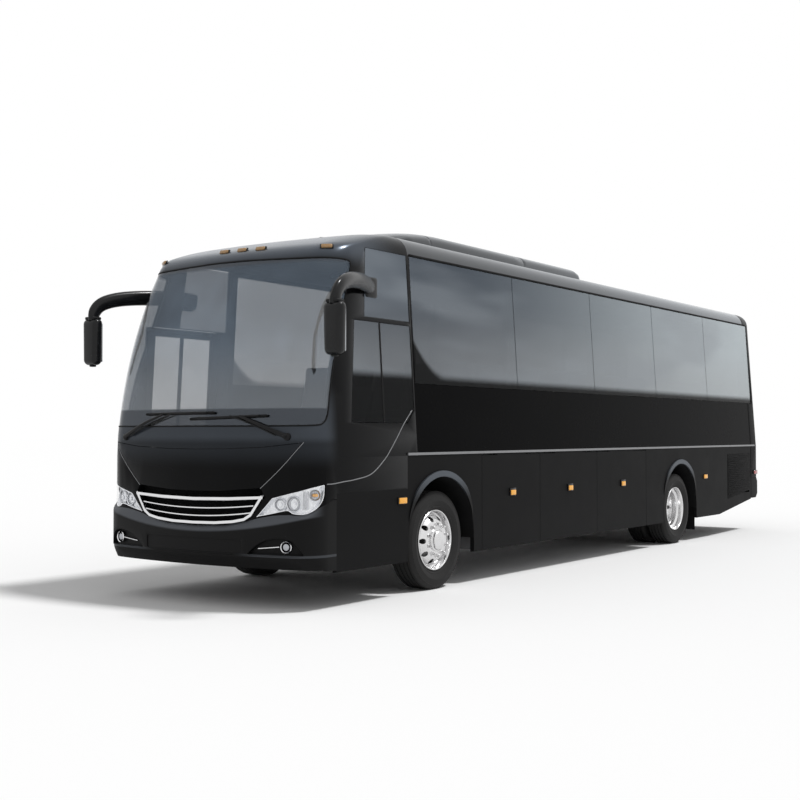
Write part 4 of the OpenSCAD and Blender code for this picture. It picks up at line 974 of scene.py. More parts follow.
def dark_mesh(f, c):
    """Fine dark mesh behind the bars."""
    wire = f.fade(f.cells(95.0, "DISTANCE_TO_EDGE"), 0.12, 0.04)
    f.worn(wire, (0.0012, 0.0012, 0.0012), (0.006, 0.006, 0.0065), 0.6, -0.2, Specular_IOR_Level=0.02,
           Normal=f.bump(wire, 0.5, 0.002))


def lamp_silver(f, c):
    """Bright faceted reflector."""
    facets = f.cells(55.0, "F1", f.stretched(1.0, 1.0, 0.35))
    f.worn(facets, (0.92, 0.93, 0.95), (0.70, 0.71, 0.74), 0.16, 0.12, Metallic=0.85,
           Normal=f.bump(facets, 0.25, 0.004))


def lamp_bowl(f, c):
    """Mirror bowl of a lamp."""
    f.worn(f.noise(60.0, 2.0), (0.46, 0.47, 0.49), (0.3, 0.31, 0.33), 0.06, 0.1, Metallic=1.0)


def clear_lens(f, c):
    """Clear cover of a lamp."""
    haze = f.noise(12.0, 2.0)
    f.worn(haze, (0.9, 0.92, 0.95), (0.8, 0.82, 0.86), 0.03, 0.04, Alpha=0.05 + 0.04 * haze,
           Specular_IOR_Level=0.5)


def brow_lens(f, c):
    """Weathered amber lens of the brow lamps."""
    ribs = f.cells(130.0)
    f.worn(ribs, (0.42, 0.27, 0.13), (0.30, 0.16, 0.06), 0.25, 0.1, Normal=f.bump(ribs, 0.3, 0.002))


def red_lens(f, c):
    """Ribbed red lens."""
    ribs = f.cells(110.0)
    f.worn(ribs, shade(c.red), shade(c.red, 0.5), 0.14, 0.1, Coat_Weight=0.5 + 0.2 * ribs,
           Normal=f.bump(ribs, 0.3, 0.002))


def woven_cloth(f, c):
    """Seat cover with a fine weave and a speckle."""
    weave = f.node("ShaderNodeTexWave", {"wave_type": "BANDS", "bands_direction": "DIAGONAL"}, output=1,
                   Scale=160.0, Distortion=0.6, Vector=f.at)
    speckle = f.fade(f.noise(90.0, 2.0), 0.52, 0.62)
    f.set(Base_Color=f.mix(speckle * 0.5 + weave * 0.3, shade(c.cloth), shade(c.cloth, 2.2)),
          Roughness=0.85 + 0.1 * weave, Sheen_Weight=0.25, Normal=f.bump(weave, 0.4, 0.0015))


def floor_rubber(f, c):
    """Studded floor cover."""
    f.set(Base_Color=f.mix(f.noise(5.0), (0.05, 0.05, 0.054), (0.085, 0.085, 0.09)),
          Roughness=0.6 + 0.2 * f.noise(30.0), Normal=f.bump(f.fade(f.cells(38.0), 0.3, 0.5), 0.3, 0.002))


def bay_lining(f, c):
    """Grey panels of the luggage bays."""
    scuffs = f.noise(11.0, 5.0, 0.7, f.stretched(1.0, 0.3, 2.0))
    f.worn(scuffs, (0.10, 0.10, 0.105), (0.17, 0.17, 0.175), 0.5, 0.25, Normal=f.bump(scuffs, 0.1, 0.001))


def studio_floor(f, c):
    """Plain pale floor."""
    pale = bpy.context.scene.coach_stage.floor
    f.set(Base_Color=f.mix(f.noise(0.4, 2.0), shade(pale), shade(pale, 0.995)),
          Roughness=0.9 + 0.05 * f.noise(2.0), Specular_IOR_Level=0.0)


def finish_of(name):
    """The frame's own material of that name, or the finish, made on first use."""
    made = bpy.data.materials.get(name)
    if made is None:
        finish = Finish(name)
        globals()[name](finish, bpy.context.scene.coach_colours)
        made = finish.material
    return made


# The ends of the coach

def nose_face(u, z):
    """Face of the front: upright, windshield arc, brow and crest."""
    front = bpy.context.scene.coach_front
    y, low, high, r = front.mask_y, front.screen_low, front.screen_high, front.brow_radius
    if z <= SCREEN_FOOT:
        return y

    def arc(radius, start, rise):
        """How far an arc has run back after a rise from a lean."""
        return radius * (math.cos(start) - math.cos(math.asin(min(1, math.sin(start) + rise / radius))))

    screen = (SCREEN_HEAD - SCREEN_FOOT) / (math.sin(high) - math.sin(low))
    if z <= SCREEN_HEAD:
        return y + arc(screen, low, z - SCREEN_FOOT)
    y += screen * (math.cos(low) - math.cos(high))
    brow_z = SCREEN_HEAD + r * (math.sin(BROW_LEAN) - math.sin(high))
    if z <= brow_z:
        return y + arc(r, high, z - SCREEN_HEAD)
    y += r * (math.cos(high) - math.cos(BROW_LEAN))
    crest = (CREST - brow_z) / (math.sin(CREST_LEAN) - math.sin(BROW_LEAN))
    return y + arc(crest, BROW_LEAN, z - brow_z)


def tail_face(u, z):
    """Face of the rear, mirrored: upright, a slight lean and a rounded head."""
    r = TAIL_HEAD
    head = CREST - r
    depth = max(0.0, min(z, head) - SCREEN_FOOT) * math.tan(TAIL_LEAN)
    if z > head:
        depth += r - math.sqrt(max(0.0, r * r - (z - head) ** 2))
    return depth + TAIL_Y


# The bumper: its ledge and the crease behind it as heights round the front, and the tucks below
LEDGE = [(0.0, 0.655), (0.35, 0.668), (0.69, 0.703), (0.85, 0.725), (1.08, 0.769), (1.262, 0.832),
         (1.42, 0.875), (2.0, 0.90)]
LEDGE_BACK = [(0.0, 0.708), (0.35, 0.720), (0.60, 0.765), (0.70, 0.794), (0.85, 0.820), (1.0, 0.832),
              (1.1, 0.822), (1.2, 0.842), (1.28, 0.888), (1.42, 0.945), (2.0, 0.96)]
LIP, LIP_TUCK, LIP_RUN = 0.478, 0.014, 0.010
CHIN, CHIN_TUCK, CHIN_RUN = 0.464, 0.085, 0.112


def read_off(table, u):
    """Value at a place, the same on both sides, from a table of points."""
    u = abs(u)
    for (a, p), (b, q) in zip(table, table[1:]):
        if u <= b:
            return p + (q - p) * (u - a) / (b - a)
    return table[-1][1]


def front_end():
    """Pattern of the front."""
    scene = bpy.context.scene
    front = scene.coach_front
    return End(Section(scene.coach_body), nose_face, front.nose_radius, front.corner_radius,
               scene.coach_body.cap_seam)


def bumper_end():
    """Pattern of the front bumper."""
    scene = bpy.context.scene
    front = scene.coach_front
    shape = front_end()

    def face(u, z):
        ledge, crease = read_off(LEDGE, u), read_off(LEDGE_BACK, u)
        fade = clamped((shape.side - abs(u)) / 0.35)
        back = 0.0
        if z > ledge:
            back = front.mask_y - front.bumper_y + 0.003
            back *= min(1.0, (z - ledge) / (crease - ledge)) ** 1.15
        elif z < LIP:
            tuck = LIP_TUCK * min(1.0, (LIP - z) / LIP_RUN)
            back = fade * (tuck + CHIN_TUCK * max(0.0, (CHIN - z) / CHIN_RUN) ** 1.4)
        return front.bumper_y + back

    return End(Section(scene.coach_body), face, front.nose_radius, front.corner_radius, -5.30)


def tail_end():
    """Pattern of the rear."""
    body = bpy.context.scene.coach_body
    return End(Section(body), tail_face, TAIL_RADIUS, TAIL_CORNER, -body.tail_seam, -1)


def tail_bumper_end():
    """Pattern of the rear bumper."""
    rows = [(0.50, 0.07), (0.57, 0.0), (0.76, 0.0), (0.82, 0.05)]

    def face(u, z):
        return read_off(rows, z) + TAIL_BUMPER_Y

    return End(Section(bpy.context.scene.coach_body), face, TAIL_RADIUS, TAIL_CORNER, -5.41, -1)


# Outlines on the pattern of the front
LAMP = [(0.688, 0.800), (0.759, 0.888), (0.849, 0.967), (0.987, 1.001), (1.115, 1.032), (1.217, 1.060),
        (1.339, 1.085), (1.328, 0.969), (1.280, 0.894), (1.217, 0.850), (1.158, 0.830), (1.098, 0.827),
        (1.044, 0.836), (1.002, 0.858), (0.928, 0.846), (0.809, 0.821)]
GRILLE = [(0.0, 0.717), (0.25, 0.721), (0.45, 0.737), (0.575, 0.760), (0.650, 0.803), (0.779, 0.986),
          (0.4, 0.968), (0.0, 0.960)]
FLAP = [(0.0, 1.008), (0.3, 1.012), (0.728, 1.045), (0.937, 1.225), (1.152, 1.444), (0.75, 1.403),
        (0.35, 1.388), (0.0, 1.384)]
SLOT = [(0.0, 0.95), (0.70, 0.965), (0.768, 0.990), (0.735, 1.050), (0.3, 1.016), (0.0, 1.012)]
FOG = (1.008, 0.553)
FOG_RECESS = [(0.628, 0.482), (0.70, 0.546), (0.80, 0.600), (0.90, 0.622), (0.988, 0.627),
              (1.07, 0.606), (1.13, 0.552), (1.178, 0.482)]
SCREEN = [(0.0, 1.578), (0.45, 1.577), (0.888, 1.578), (1.25, 1.583), (1.341, 1.607), (1.388, 1.672),
          (1.408, 1.813), (1.433, 2.097), (1.468, 2.363), (1.486, 2.61), (1.474, 2.91), (1.440, 3.045),
          (1.308, 3.082), (0.834, 3.090), (0.237, 3.106), (0.0, 3.108)]


def lamp_outline():
    """Headlamp outline on the pattern of the front, with its long curves eased."""
    head, tail = LAMP[:7], LAMP[6:] + LAMP[:1]
    return eased(head[2:], 4)[:-1] + eased(tail, 4)[:-1] + divided([LAMP[0], LAMP[2]], 0.04)[:4]


def quarter_outline(axle):
    """Driver's window, seen from the side."""
    return [(axle - 1.46, 1.615), (axle - 0.57, 1.615), (axle - 0.455, 1.73), (axle - 0.455, 2.54),
            (axle - 1.345, 2.54)]


def upper_outline(axle, top):
    """Pane above the driver's window or the entry door, seen from the side."""
    return [(axle - 1.19, 2.575), (axle - 0.455, 2.575), (axle - 0.455, top), (axle - 1.12, top)]


FLOOR_HALF = 240
KEY_AIM = (-0.83, -0.56, -1.85)


class COACH_OT_stage(bpy.types.Operator):
    """Floor, soft studio light and the camera"""
    bl_idname = "coach.stage"
    bl_label = "Stage"

    def execute(self, context):
        scene = context.scene
        stage = scene.coach_stage
        bm = bmesh.new()
        bmesh.ops.create_grid(bm, x_segments=8, y_segments=8, size=FLOOR_HALF)
        mesh = bpy.data.meshes.new("studio_floor")
        bm.to_mesh(mesh)
        bm.free()
        mesh.materials.append(finish_of("studio_floor"))
        floor = bpy.data.objects.new("studio_floor", mesh)
        scene.collection.objects.link(floor)
        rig.stage(floor)
        world = bpy.data.worlds.new("studio")
        scene.world = world
        world.use_nodes = True
        tree = world.node_tree
        tree.nodes.clear()
        paths = tree.nodes.new("ShaderNodeLightPath")
        shown = paths.outputs["Is Camera Ray"]
        for ray in ("Is Glossy Ray", "Is Transmission Ray"):
            either = tree.nodes.new("ShaderNodeMath")
            either.operation = "MAXIMUM"
            tree.links.new(shown, either.inputs[0])
            tree.links.new(paths.outputs[ray], either.inputs[1])
            shown = either.outputs[0]
        level = tree.nodes.new("ShaderNodeMapRange")
        level.inputs["To Min"].default_value = stage.fill
        level.inputs["To Max"].default_value = 1.0
        tree.links.new(shown, level.inputs["Value"])
        light = tree.nodes.new("ShaderNodeBackground")
        light.inputs["Color"].default_value = (1, 1, 1, 1)
        tree.links.new(level.outputs[0], light.inputs["Strength"])
        out = tree.nodes.new("ShaderNodeOutputWorld")
        tree.links.new(light.outputs[0], out.inputs[0])
        lamp = bpy.data.lights.new("key", "SUN")
        lamp.energy, lamp.angle = stage.key, stage.key_spread
        key = bpy.data.objects.new("key", lamp)
        key.rotation_euler = Vector(KEY_AIM).to_track_quat("-Z", "Y").to_euler()
        scene.collection.objects.link(key)
        lens = bpy.data.cameras.new("photo_view")
        lens.lens, lens.sensor_width, lens.clip_end = stage.lens, 36.0, 500.0
        camera = bpy.data.objects.new("photo_view", lens)
        camera.location, camera.rotation_euler = stage.place, stage.turn
        scene.collection.objects.link(camera)
        scene.camera = camera
        scene.view_settings.view_transform = "Standard"
        return {"FINISHED"}


class COACH_OT_front(bpy.types.Operator):
    """Front shell with its openings, the flap and the windshield"""
    bl_idname = "coach.front"
    bl_label = "Front shell"

    def execute(self, context):
        body = context.scene.coach_body
        end = front_end()
        section, axle = end.section, body.front_axle
        top = section.eave - 0.008
        lower = [(u, read_off(LEDGE_BACK, u) - 0.025 + 0.03 * clamped((abs(u) - 1.37) / 0.03))
                 for u in spaced(-end.reach, end.reach, 0.03)]
        shell = plate(lower + [(end.reach, section.top), (-end.reach, section.top)], 0, body.wall)
        screen = mirrored(eased(SCREEN, 5))
        cuts = [plate(screen, *THROUGH),
                plate(divided(mirrored(FLAP), 0.06), *THROUGH, corner=0.02),
                plate(divided(mirrored(GRILLE), 0.06), *THROUGH, corner=0.015),
                plate(divided(mirrored(SLOT), 0.06), *THROUGH)]
        for s in (1, -1):
            cuts.append(plate([(s * u, v) for u, v in lamp_outline()], *THROUGH, corner=0.008))
            cuts.append(plate(end.on_side(rect(SKIRT_FRONT, 0.2, -4.0, 1.0), s), *THROUGH))
            cuts.append(plate(end.on_side(rect(DOOR_BACK, 0.2, -4.0, 1.31), s), *THROUGH))
            cuts += self.seat(end.on_side(upper_outline(axle, top), s))
        cuts += self.seat(end.on_side(quarter_outline(axle)))
        cuts.append(plate(end.on_side(rect(DOOR_FRONT, 0.2, DOOR_BACK, DOOR_TOP), -1), *THROUGH))
        shell = formed(end, carve(shell, cuts), body.soft, 0)
        knuckle = tube([(-body.half_width, axle - 1.604, z) for z in (1.16, 1.2, 1.24)], 0.010)
        piece("front_mask", joined([(shell, 0), (knuckle, 1)]), ["front_paint", "cast_metal"],
              slot="body_paint", nodes=["front_mask"])
        flap = plate(divided(mirrored(FLAP), 0.06), 0, 0.04, corner=0.02, shrink=body.gap)
        parts = [(formed(end, flap, body.soft, 0), 0)]
        # Bright strips along the flap's upper edges: a painted highlight of the light their seams catch
        for s in (1, -1):
            edge = [(s * (u + 0.002), v) for u, v in eased(FLAP[2:5], 4)]
            parts.append((formed(end, plate(swept(edge, 0.005), -0.002, 0.006)), 1))
        piece("front_flap", joined(parts), ["front_paint", "dull_trim"], slot="body_paint",
              nodes=["front_flap"])
        pane = plate(screen, 0.002, 0.012, shrink=0.012)
        piece("windshield", formed(end, pane), "screen_glass", slot="glass", nodes=["windshield"])
        seal = plate(screen, -0.003, 0.03, shrink=0.001, ring=0.014)
        piece("windshield_seal", formed(end, seal, 0.003, -0.003), "moulded_rubber", slot="rubber")
        return {"FINISHED"}

    def seat(self, outline):
        """Cutters for a pane: a shallow seat and an opening inside it."""
        return [plate(outline, OUTSIDE, 0.0095), plate(outline, *THROUGH, shrink=0.03)]


class COACH_OT_lamps(bpy.types.Operator):
    """Headlamps and fog lamps"""
    bl_idname = "coach.lamps"
    bl_label = "Front lamps"

    def execute(self, context):
        front = context.scene.coach_front
        end, low = front_end(), bumper_end()
        outline = lamp_outline()
        tray = formed(end, plate(outline, 0.038, 0.044, corner=0.008, shrink=0.003))
        wall = plate(outline, 0.001, 0.042, corner=0.008, shrink=0.003, ring=0.007)
        wall = formed(end, wall, 0.002, 0.001)
        cover = plate(outline, -0.004, -0.001, corner=0.008, shrink=0.005)
        cover = formed(end, cover, 0.0012, -0.004)
        parts = [(tray, 0), (wall, 0)]
        for u, z, r in ((0.914, 0.909, front.bowl_radius), (1.050, 0.918, 1.2 * front.bowl_radius)):
            aim = end.facing(u, z, 0.026, 0.06)
            ring = [(r, -0.012), (r + 0.006, 0.0), (r, 0.007), (r - 0.005, 0.002), (r - 0.007, -0.01)]
            bowl = [(r - 0.006, 0.0), (0.82 * r, -0.010), (0.55 * r, -0.0135), (0.34 * r, -0.0145)]
            cap = [(0.34 * r, -0.0145), (0.34 * r, 0.002), (0.22 * r, 0.007), (TIP, 0.009)]
            parts += [(turned(ring, *aim, 40, True), 0), (turned(bowl, *aim, 40), 1),
                      (turned(cap, *aim, 24), 0)]
        for k in range(5):
            u = 0.012 * k
            rib = [(1.135 + u, 0.868), (1.141 + u, 0.868), (1.145 + u, 1.026), (1.139 + u, 1.026)]
            parts.append((formed(end, plate(rib, 0.03, 0.04), 0.002, 0.03), 1))
        aim = end.facing(1.255, 0.992, 0.028, 0.06)
        bulb = rounded_box((0.018, 0.05, 0.026), (0, 0, 0), 0.008, 4)
        cup = [(0.048, 0.006), (0.044, 0.009), (0.036, -0.004), (0.012, -0.009)]
        parts += [(aimed(bulb, *aim), 2), (turned(cup, *aim, 32), 1), (cover, 3)]
        aim = low.place(*FOG, 0.026), low.place(*FOG, 0) - low.place(*FOG, 0.04)
        rim = [(0.044, -0.008), (0.052, -0.008), (0.0545, 0.008), (0.050, 0.014), (0.045, 0.008)]
        well = [(0.045, 0.006), (0.042, -0.004), (0.034, -0.006)]
        lens = [(0.034, -0.004), (0.028, 0.005), (0.014, 0.009), (TIP, 0.010)]
        line = divided([(0.732, 0.529), (0.945, 0.549), (0.945, 0.558), (0.732, 0.537)], 0.05)
        parts += [(turned(rim, *aim, 40, True), 4), (turned(well, *aim, 40), 5),
                  (turned(lens, *aim, 32), 1), (formed(low, plate(line, 0.014, 0.03), 0.003, 0.014), 4)]
        finishes = ["lamp_silver", "lamp_bowl", "amber_lens", "clear_lens", "bright_trim", "dark_mesh"]
        piece("front_lamps", both_sides(joined(parts)), finishes, slot="lens", nodes=["front_lamps"])
        return {"FINISHED"}


class COACH_OT_grille(bpy.types.Operator):
    """Bright grille frame, its bars and the dark mesh behind"""
    bl_idname = "coach.grille"
    bl_label = "Grille"

    def execute(self, context):
        end = front_end()
        outline = divided(mirrored(GRILLE), 0.04)
        ring = plate(outline, -0.016, 0.03, corner=0.015, shrink=0.004, ring=0.024)
        parts = [(formed(end, soften(ring, 0.006, -0.016, 3)), 0)]
        head = [(0.0, 0.926), (0.4, 0.934), (0.735, 0.953), (0.752, 0.975), (0.4, 0.962), (0.0, 0.955)]
        head = plate(divided(mirrored(head), 0.05), -0.013, 0.02)
        parts.append((formed(end, soften(head, 0.006, -0.013, 3)), 0))
        for tip, mid, reach in ((0.896, 0.862, 0.665), (0.834, 0.794, 0.635)):
            path = [(x, mid + (tip - mid) * (x / reach) ** 2) for x in spaced(-reach, reach, 0.05)]
            bar = plate(swept(path, 0.012), -0.008, 0.016)
            parts.append((formed(end, bar, 0.004, -0.008), 0))
        piece("grille", joined(parts), "bright_trim", slot="chrome", nodes=["grille"])
        back = plate(rect(-1.0, 0.68, 1.0, 1.06), 0.058, 0.064)
        piece("grille_mesh", formed(end, back), "dark_mesh", slot="trim_plastic")
        return {"FINISHED"}


class COACH_OT_bumper(bpy.types.Operator):
    """Front bumper with its ledge, lip and recesses"""
    bl_idname = "coach.bumper"
    bl_label = "Front bumper"

    def execute(self, context):
        body, end = context.scene.coach_body, bumper_end()
        upper = [(u, read_off(LEDGE_BACK, u)) for u in spaced(-end.reach, end.reach, 0.04)]
        foot = [(1.38, 0.352), (1.42, 0.339), (end.reach, 0.339)]
        shell = plate([(-u, v) for u, v in reversed(foot)] + foot + upper[::-1], 0, body.wall)
        recess = divided(rect(-0.57, 0.484, 0.57, 0.598), 0.06)
        cuts = [plate(recess, OUTSIDE, 0.007, corner=0.02)]
        for s in (1, -1):
            fog = [(s * u, v) for u, v in eased(FOG_RECESS, 3)]
            cuts.append(plate(fog, OUTSIDE, 0.042, corner=0.01))
            cuts.append(plate(end.on_side(rect(SKIRT_FRONT, 0.2, -5.2, 1.0), s, 0.02), *THROUGH))
        shell = carve(shell, cuts)

        def on_lip(vert):
            u, v, d = vert.co
            return abs(d) < 1e-5 and v < read_off(LEDGE_BACK, u) - 0.006 and abs(u) < end.side

        lips = [e for e in sharp_edges(shell, 0.7) if all(on_lip(v) for v in e.verts)]
        rounded(shell, lips, 0.005, 2)
        slice_up(shell, 0, end.stations())
        slice_up(shell, 1, spaced(0.339, CHIN, 0.016) + [0.468, LIP, 0.482] + spaced(0.65, 0.96, 0.008))
        piece("front_bumper", bend(shell, end.place), "bumper_paint", slot="skirt_paint",
              nodes=["front_bumper"])
        return {"FINISHED"}


# The air unit: height along its length, cross seams, how square its section is
POD_LENGTH = 5.02
POD_RISE = [(0.0, -0.02), (0.22, -0.008), (0.50, 0.050), (0.85, 0.124), (1.17, 0.170), (1.45, 0.187),
            (1.75, 0.192), (4.45, 0.190), (4.65, 0.180), (4.80, 0.155), (4.92, 0.110), (POD_LENGTH, 0.0)]
POD_SEAMS = (1.30, 3.30)
POD_BULGE = 0.42
POD_SINK = 0.012


class COACH_OT_roof(bpy.types.Operator):
    """Roof skin, gutters and the air unit"""
    bl_idname = "coach.roof"
    bl_label = "Roof and air unit"

    def execute(self, context):
        body = context.scene.coach_body
        section = Section(body)
        half = section.top - section.eave
        skin = plate(rect(body.cap_seam, -half, body.tail_seam, half), 0, body.wall)
        crown = section.top - section.brink
        steps = spaced(0.05, crown - 0.02, 0.14) + spaced(crown, half, 0.022)
        slice_up(skin, 1, steps + [-s for s in steps] + [0.0])
        slice_up(skin, 0, spaced(body.cap_seam, body.tail_seam, 0.6))
        piece("roof", bend(skin, section.barrel), "roof_paint", slot="body_paint", nodes=["roof"])
        edge = half + 0.004
        gutter = plate(rect(body.cap_seam + 0.03, edge - 0.016, 5.54, edge), -0.008, 0.004)
        gutter = slice_up(soften(gutter, 0.003, -0.008), 0, spaced(-4.0, 5.5, 0.5))
        gutter = both_sides(bend(gutter, section.barrel))
        piece("gutters", gutter, "moulded_rubber", slot="rubber")
        self.air_unit(body)
        return {"FINISHED"}

    def air_unit(self, body):
        """Low moulded pod with a long ramp in front, round shoulders and two cross seams."""
        roof, front, half = body.roof_height, body.front_axle - 0.80, 0.80
        curve = eased(POD_RISE, 6)
        bm = bmesh.new()
        bmesh.ops.create_grid(bm, x_segments=36, y_segments=2, size=0.5)
        stops = spaced(0.0, 1.75, 0.07) + spaced(1.75, 4.45, 0.3) + spaced(4.45, POD_LENGTH, 0.035)
        stops += [seam + k for seam in POD_SEAMS for k in (-0.014, -0.006, 0.006, 0.014)]
        slice_up(bm, 1, [s / POD_LENGTH - 0.5 for s in stops])
        for vert in bm.verts:
            run = (vert.co.y + 0.5) * POD_LENGTH
            height = read_off(curve, run)
            turn = vert.co.x * math.pi
            share = 0.45 + 0.55 * min(1.0, run / 0.9) ** 0.6
            share = min(share, 1 - 0.5 * max(0.0, run - 4.75))
            across = math.copysign(abs(math.sin(turn)) ** POD_BULGE, turn) * half * share
            foot = roof - 0.006 - across * across / 32 - POD_SINK
            z = foot + (height + POD_SINK) * max(0.0, math.cos(turn)) ** POD_BULGE
            if any(abs(run - seam) < 0.008 for seam in POD_SEAMS):
                z -= 0.009
            vert.co = (across, front + run, z)
        thicken(bm, -0.03)
        piece("roof_aircon", bm, "roof_paint", slot="body_paint", nodes=["roof_aircon"], angle=50)


SIDES = (("left", 1), ("right", -1))
# Places along the side, from the front axle, and the height of the lamps there
SWEEP = [(-0.488, 1.738), (-0.638, 1.609), (-0.786, 1.458), (-0.974, 1.286), (-1.186, 1.157),
         (-1.432, 1.114), (-1.6, 1.10)]
MARKER_Z = 0.895
BAY_SEAMS = (0.767, 2.032, 3.492, 4.967)
# Lamps over the windshield, on the pattern of the front
BROW_LAMPS = ((-1.13, 3.185), (-0.164, 3.218), (0.058, 3.218), (0.285, 3.213), (1.13, 3.186))


class COACH_OT_flanks(bpy.types.Operator):
    """Finishes of the side walls, glass and doors, with a bright strip as a painted highlight on the sweep seam, vent
    grids and marker lenses
    """
    bl_idname = "coach.flanks"
    bl_label = "Sides"

    def execute(self, context):
        body = context.scene.coach_body
        section, end, axle = Section(body), front_end(), body.front_axle
        dress("gloss_paint", "side_walls", "entry_door")
        dress("tinted_glass", "windows")
        dress("entry_glass", "entry_glass")
        dress("satin_paint", "skirt_panels")
        dress("dull_trim", "belt_strips")
        for side, _ in SIDES:
            dress("satin_paint", *("luggage_door_%s_%d" % (side, k) for k in (1, 2, 3)))
        # Bright strip along the sweep seam: a painted highlight of the seam's edge
        path = [(end.along(axle + y, z), z) for y, z in SWEEP] + [(1.45, 1.087), (1.36, 1.085)]
        bead = plate(swept(eased(path), 0.009), -0.004, 0.004)
        piece("sweep_bead", formed(end, bead, 0.002, -0.004), "dull_trim", slot="chrome")
        y = axle - 0.955
        bar = soften(plate(rect(y - 0.012, 1.62, y + 0.012, 2.535), -0.003, 0.002), 0.002, -0.003)
        piece("driver_window_bar", bend(slice_up(bar, 1, [1.9, 2.2]), section.flank), "moulded_rubber",
              slot="rubber")
        y = axle + 8.03
        cover = divided([(y, 0.53), (axle + 9.03, 0.635), (axle + 9.03, 1.205), (y, 1.205)], 0.3)
        cover = soften(plate(cover, -0.003, 0.004), 0.002, -0.003)
        grid = [(bend(cover, section.flank), 1)]
        for z in spaced(0.645, 1.185, 0.03):
            bar = rounded_box((0.006, 0.98, 0.006), (body.half_width + 0.003, axle + 8.53, z), 0.002, 1)
            grid.append((bar, 0))
        piece("vent_grids", both_sides(joined(grid)), ["moulded_rubber", "dark_mesh"],
              slot="trim_plastic")
        pane = frame["nodes"]["entry_glass"]
        box = [pane.matrix_world @ Vector(corner) for corner in pane.bound_box]
        mid = sum(v.y for v in box) / 8
        low, high = min(v.z for v in box) + 0.01, max(v.z for v in box) - 0.01
        bar = soften(plate(rect(mid - 0.02, low, mid + 0.02, high), -0.003, 0.014), 0.002, -0.003)
        bar = bend(slice_up(bar, 1, [1.31]), section.flank)
        bmesh.ops.scale(bar, vec=(-1, 1, 1), verts=bar.verts[:])
        piece("entry_bar", bar, "moulded_rubber", "entry_door", "rubber")
        self.markers(body, axle)
        return {"FINISHED"}

    def markers(self, body, axle):
        """Amber lenses in black holders along both sides, and the row over the windshield."""
        end = front_end()
        row = []
        for u, v in BROW_LAMPS:
            case = rounded_box((0.014, 0.125, 0.05), (0, 0, 0), 0.006, 3)
            lens = rounded_box((0.026, 0.10, 0.036), (0.008, 0, 0), 0.009, 3)
            spot, outward = end.facing(u, v, -0.002, 0.05)
            outward.z = 0.5 * math.hypot(outward.x, outward.y)
            row += [(aimed(case, spot, outward), 0), (aimed(lens, spot, outward), 2)]
        skin = body.half_width
        for y in (axle - 0.695, axle + 7.087):
            for s in (1, -1):
                case = rounded_box((0.012, 0.145, 0.066), (s * (skin + 0.004), y, MARKER_Z), 0.004, 2)
                lens = rounded_box((0.018, 0.125, 0.054), (s * (skin + 0.010), y, MARKER_Z), 0.006, 3)
                row += [(case, 0), (lens, 1)]
        piece("marker_lamps", joined(row), ["gloss_plastic", "amber_lens", "brow_lens"],
              slot="amber_lens", nodes=["marker_lamps"])
        for side, s in SIDES:
            for k in (1, 2, 3):
                y = axle + (BAY_SEAMS[k - 1] + BAY_SEAMS[k]) / 2
                case = rounded_box((0.016, 0.125, 0.084), (s * (skin + 0.006), y, 0.897), 0.004, 2)
                lens = rounded_box((0.016, 0.105, 0.054), (s * (skin + 0.014), y, 0.89), 0.006, 3)
                piece("door_marker_%s_%d" % (side, k), joined([(case, 0), (lens, 1)]),
                      ["gloss_plastic", "amber_lens"], "luggage_door_%s_%d" % (side, k), "amber_lens")


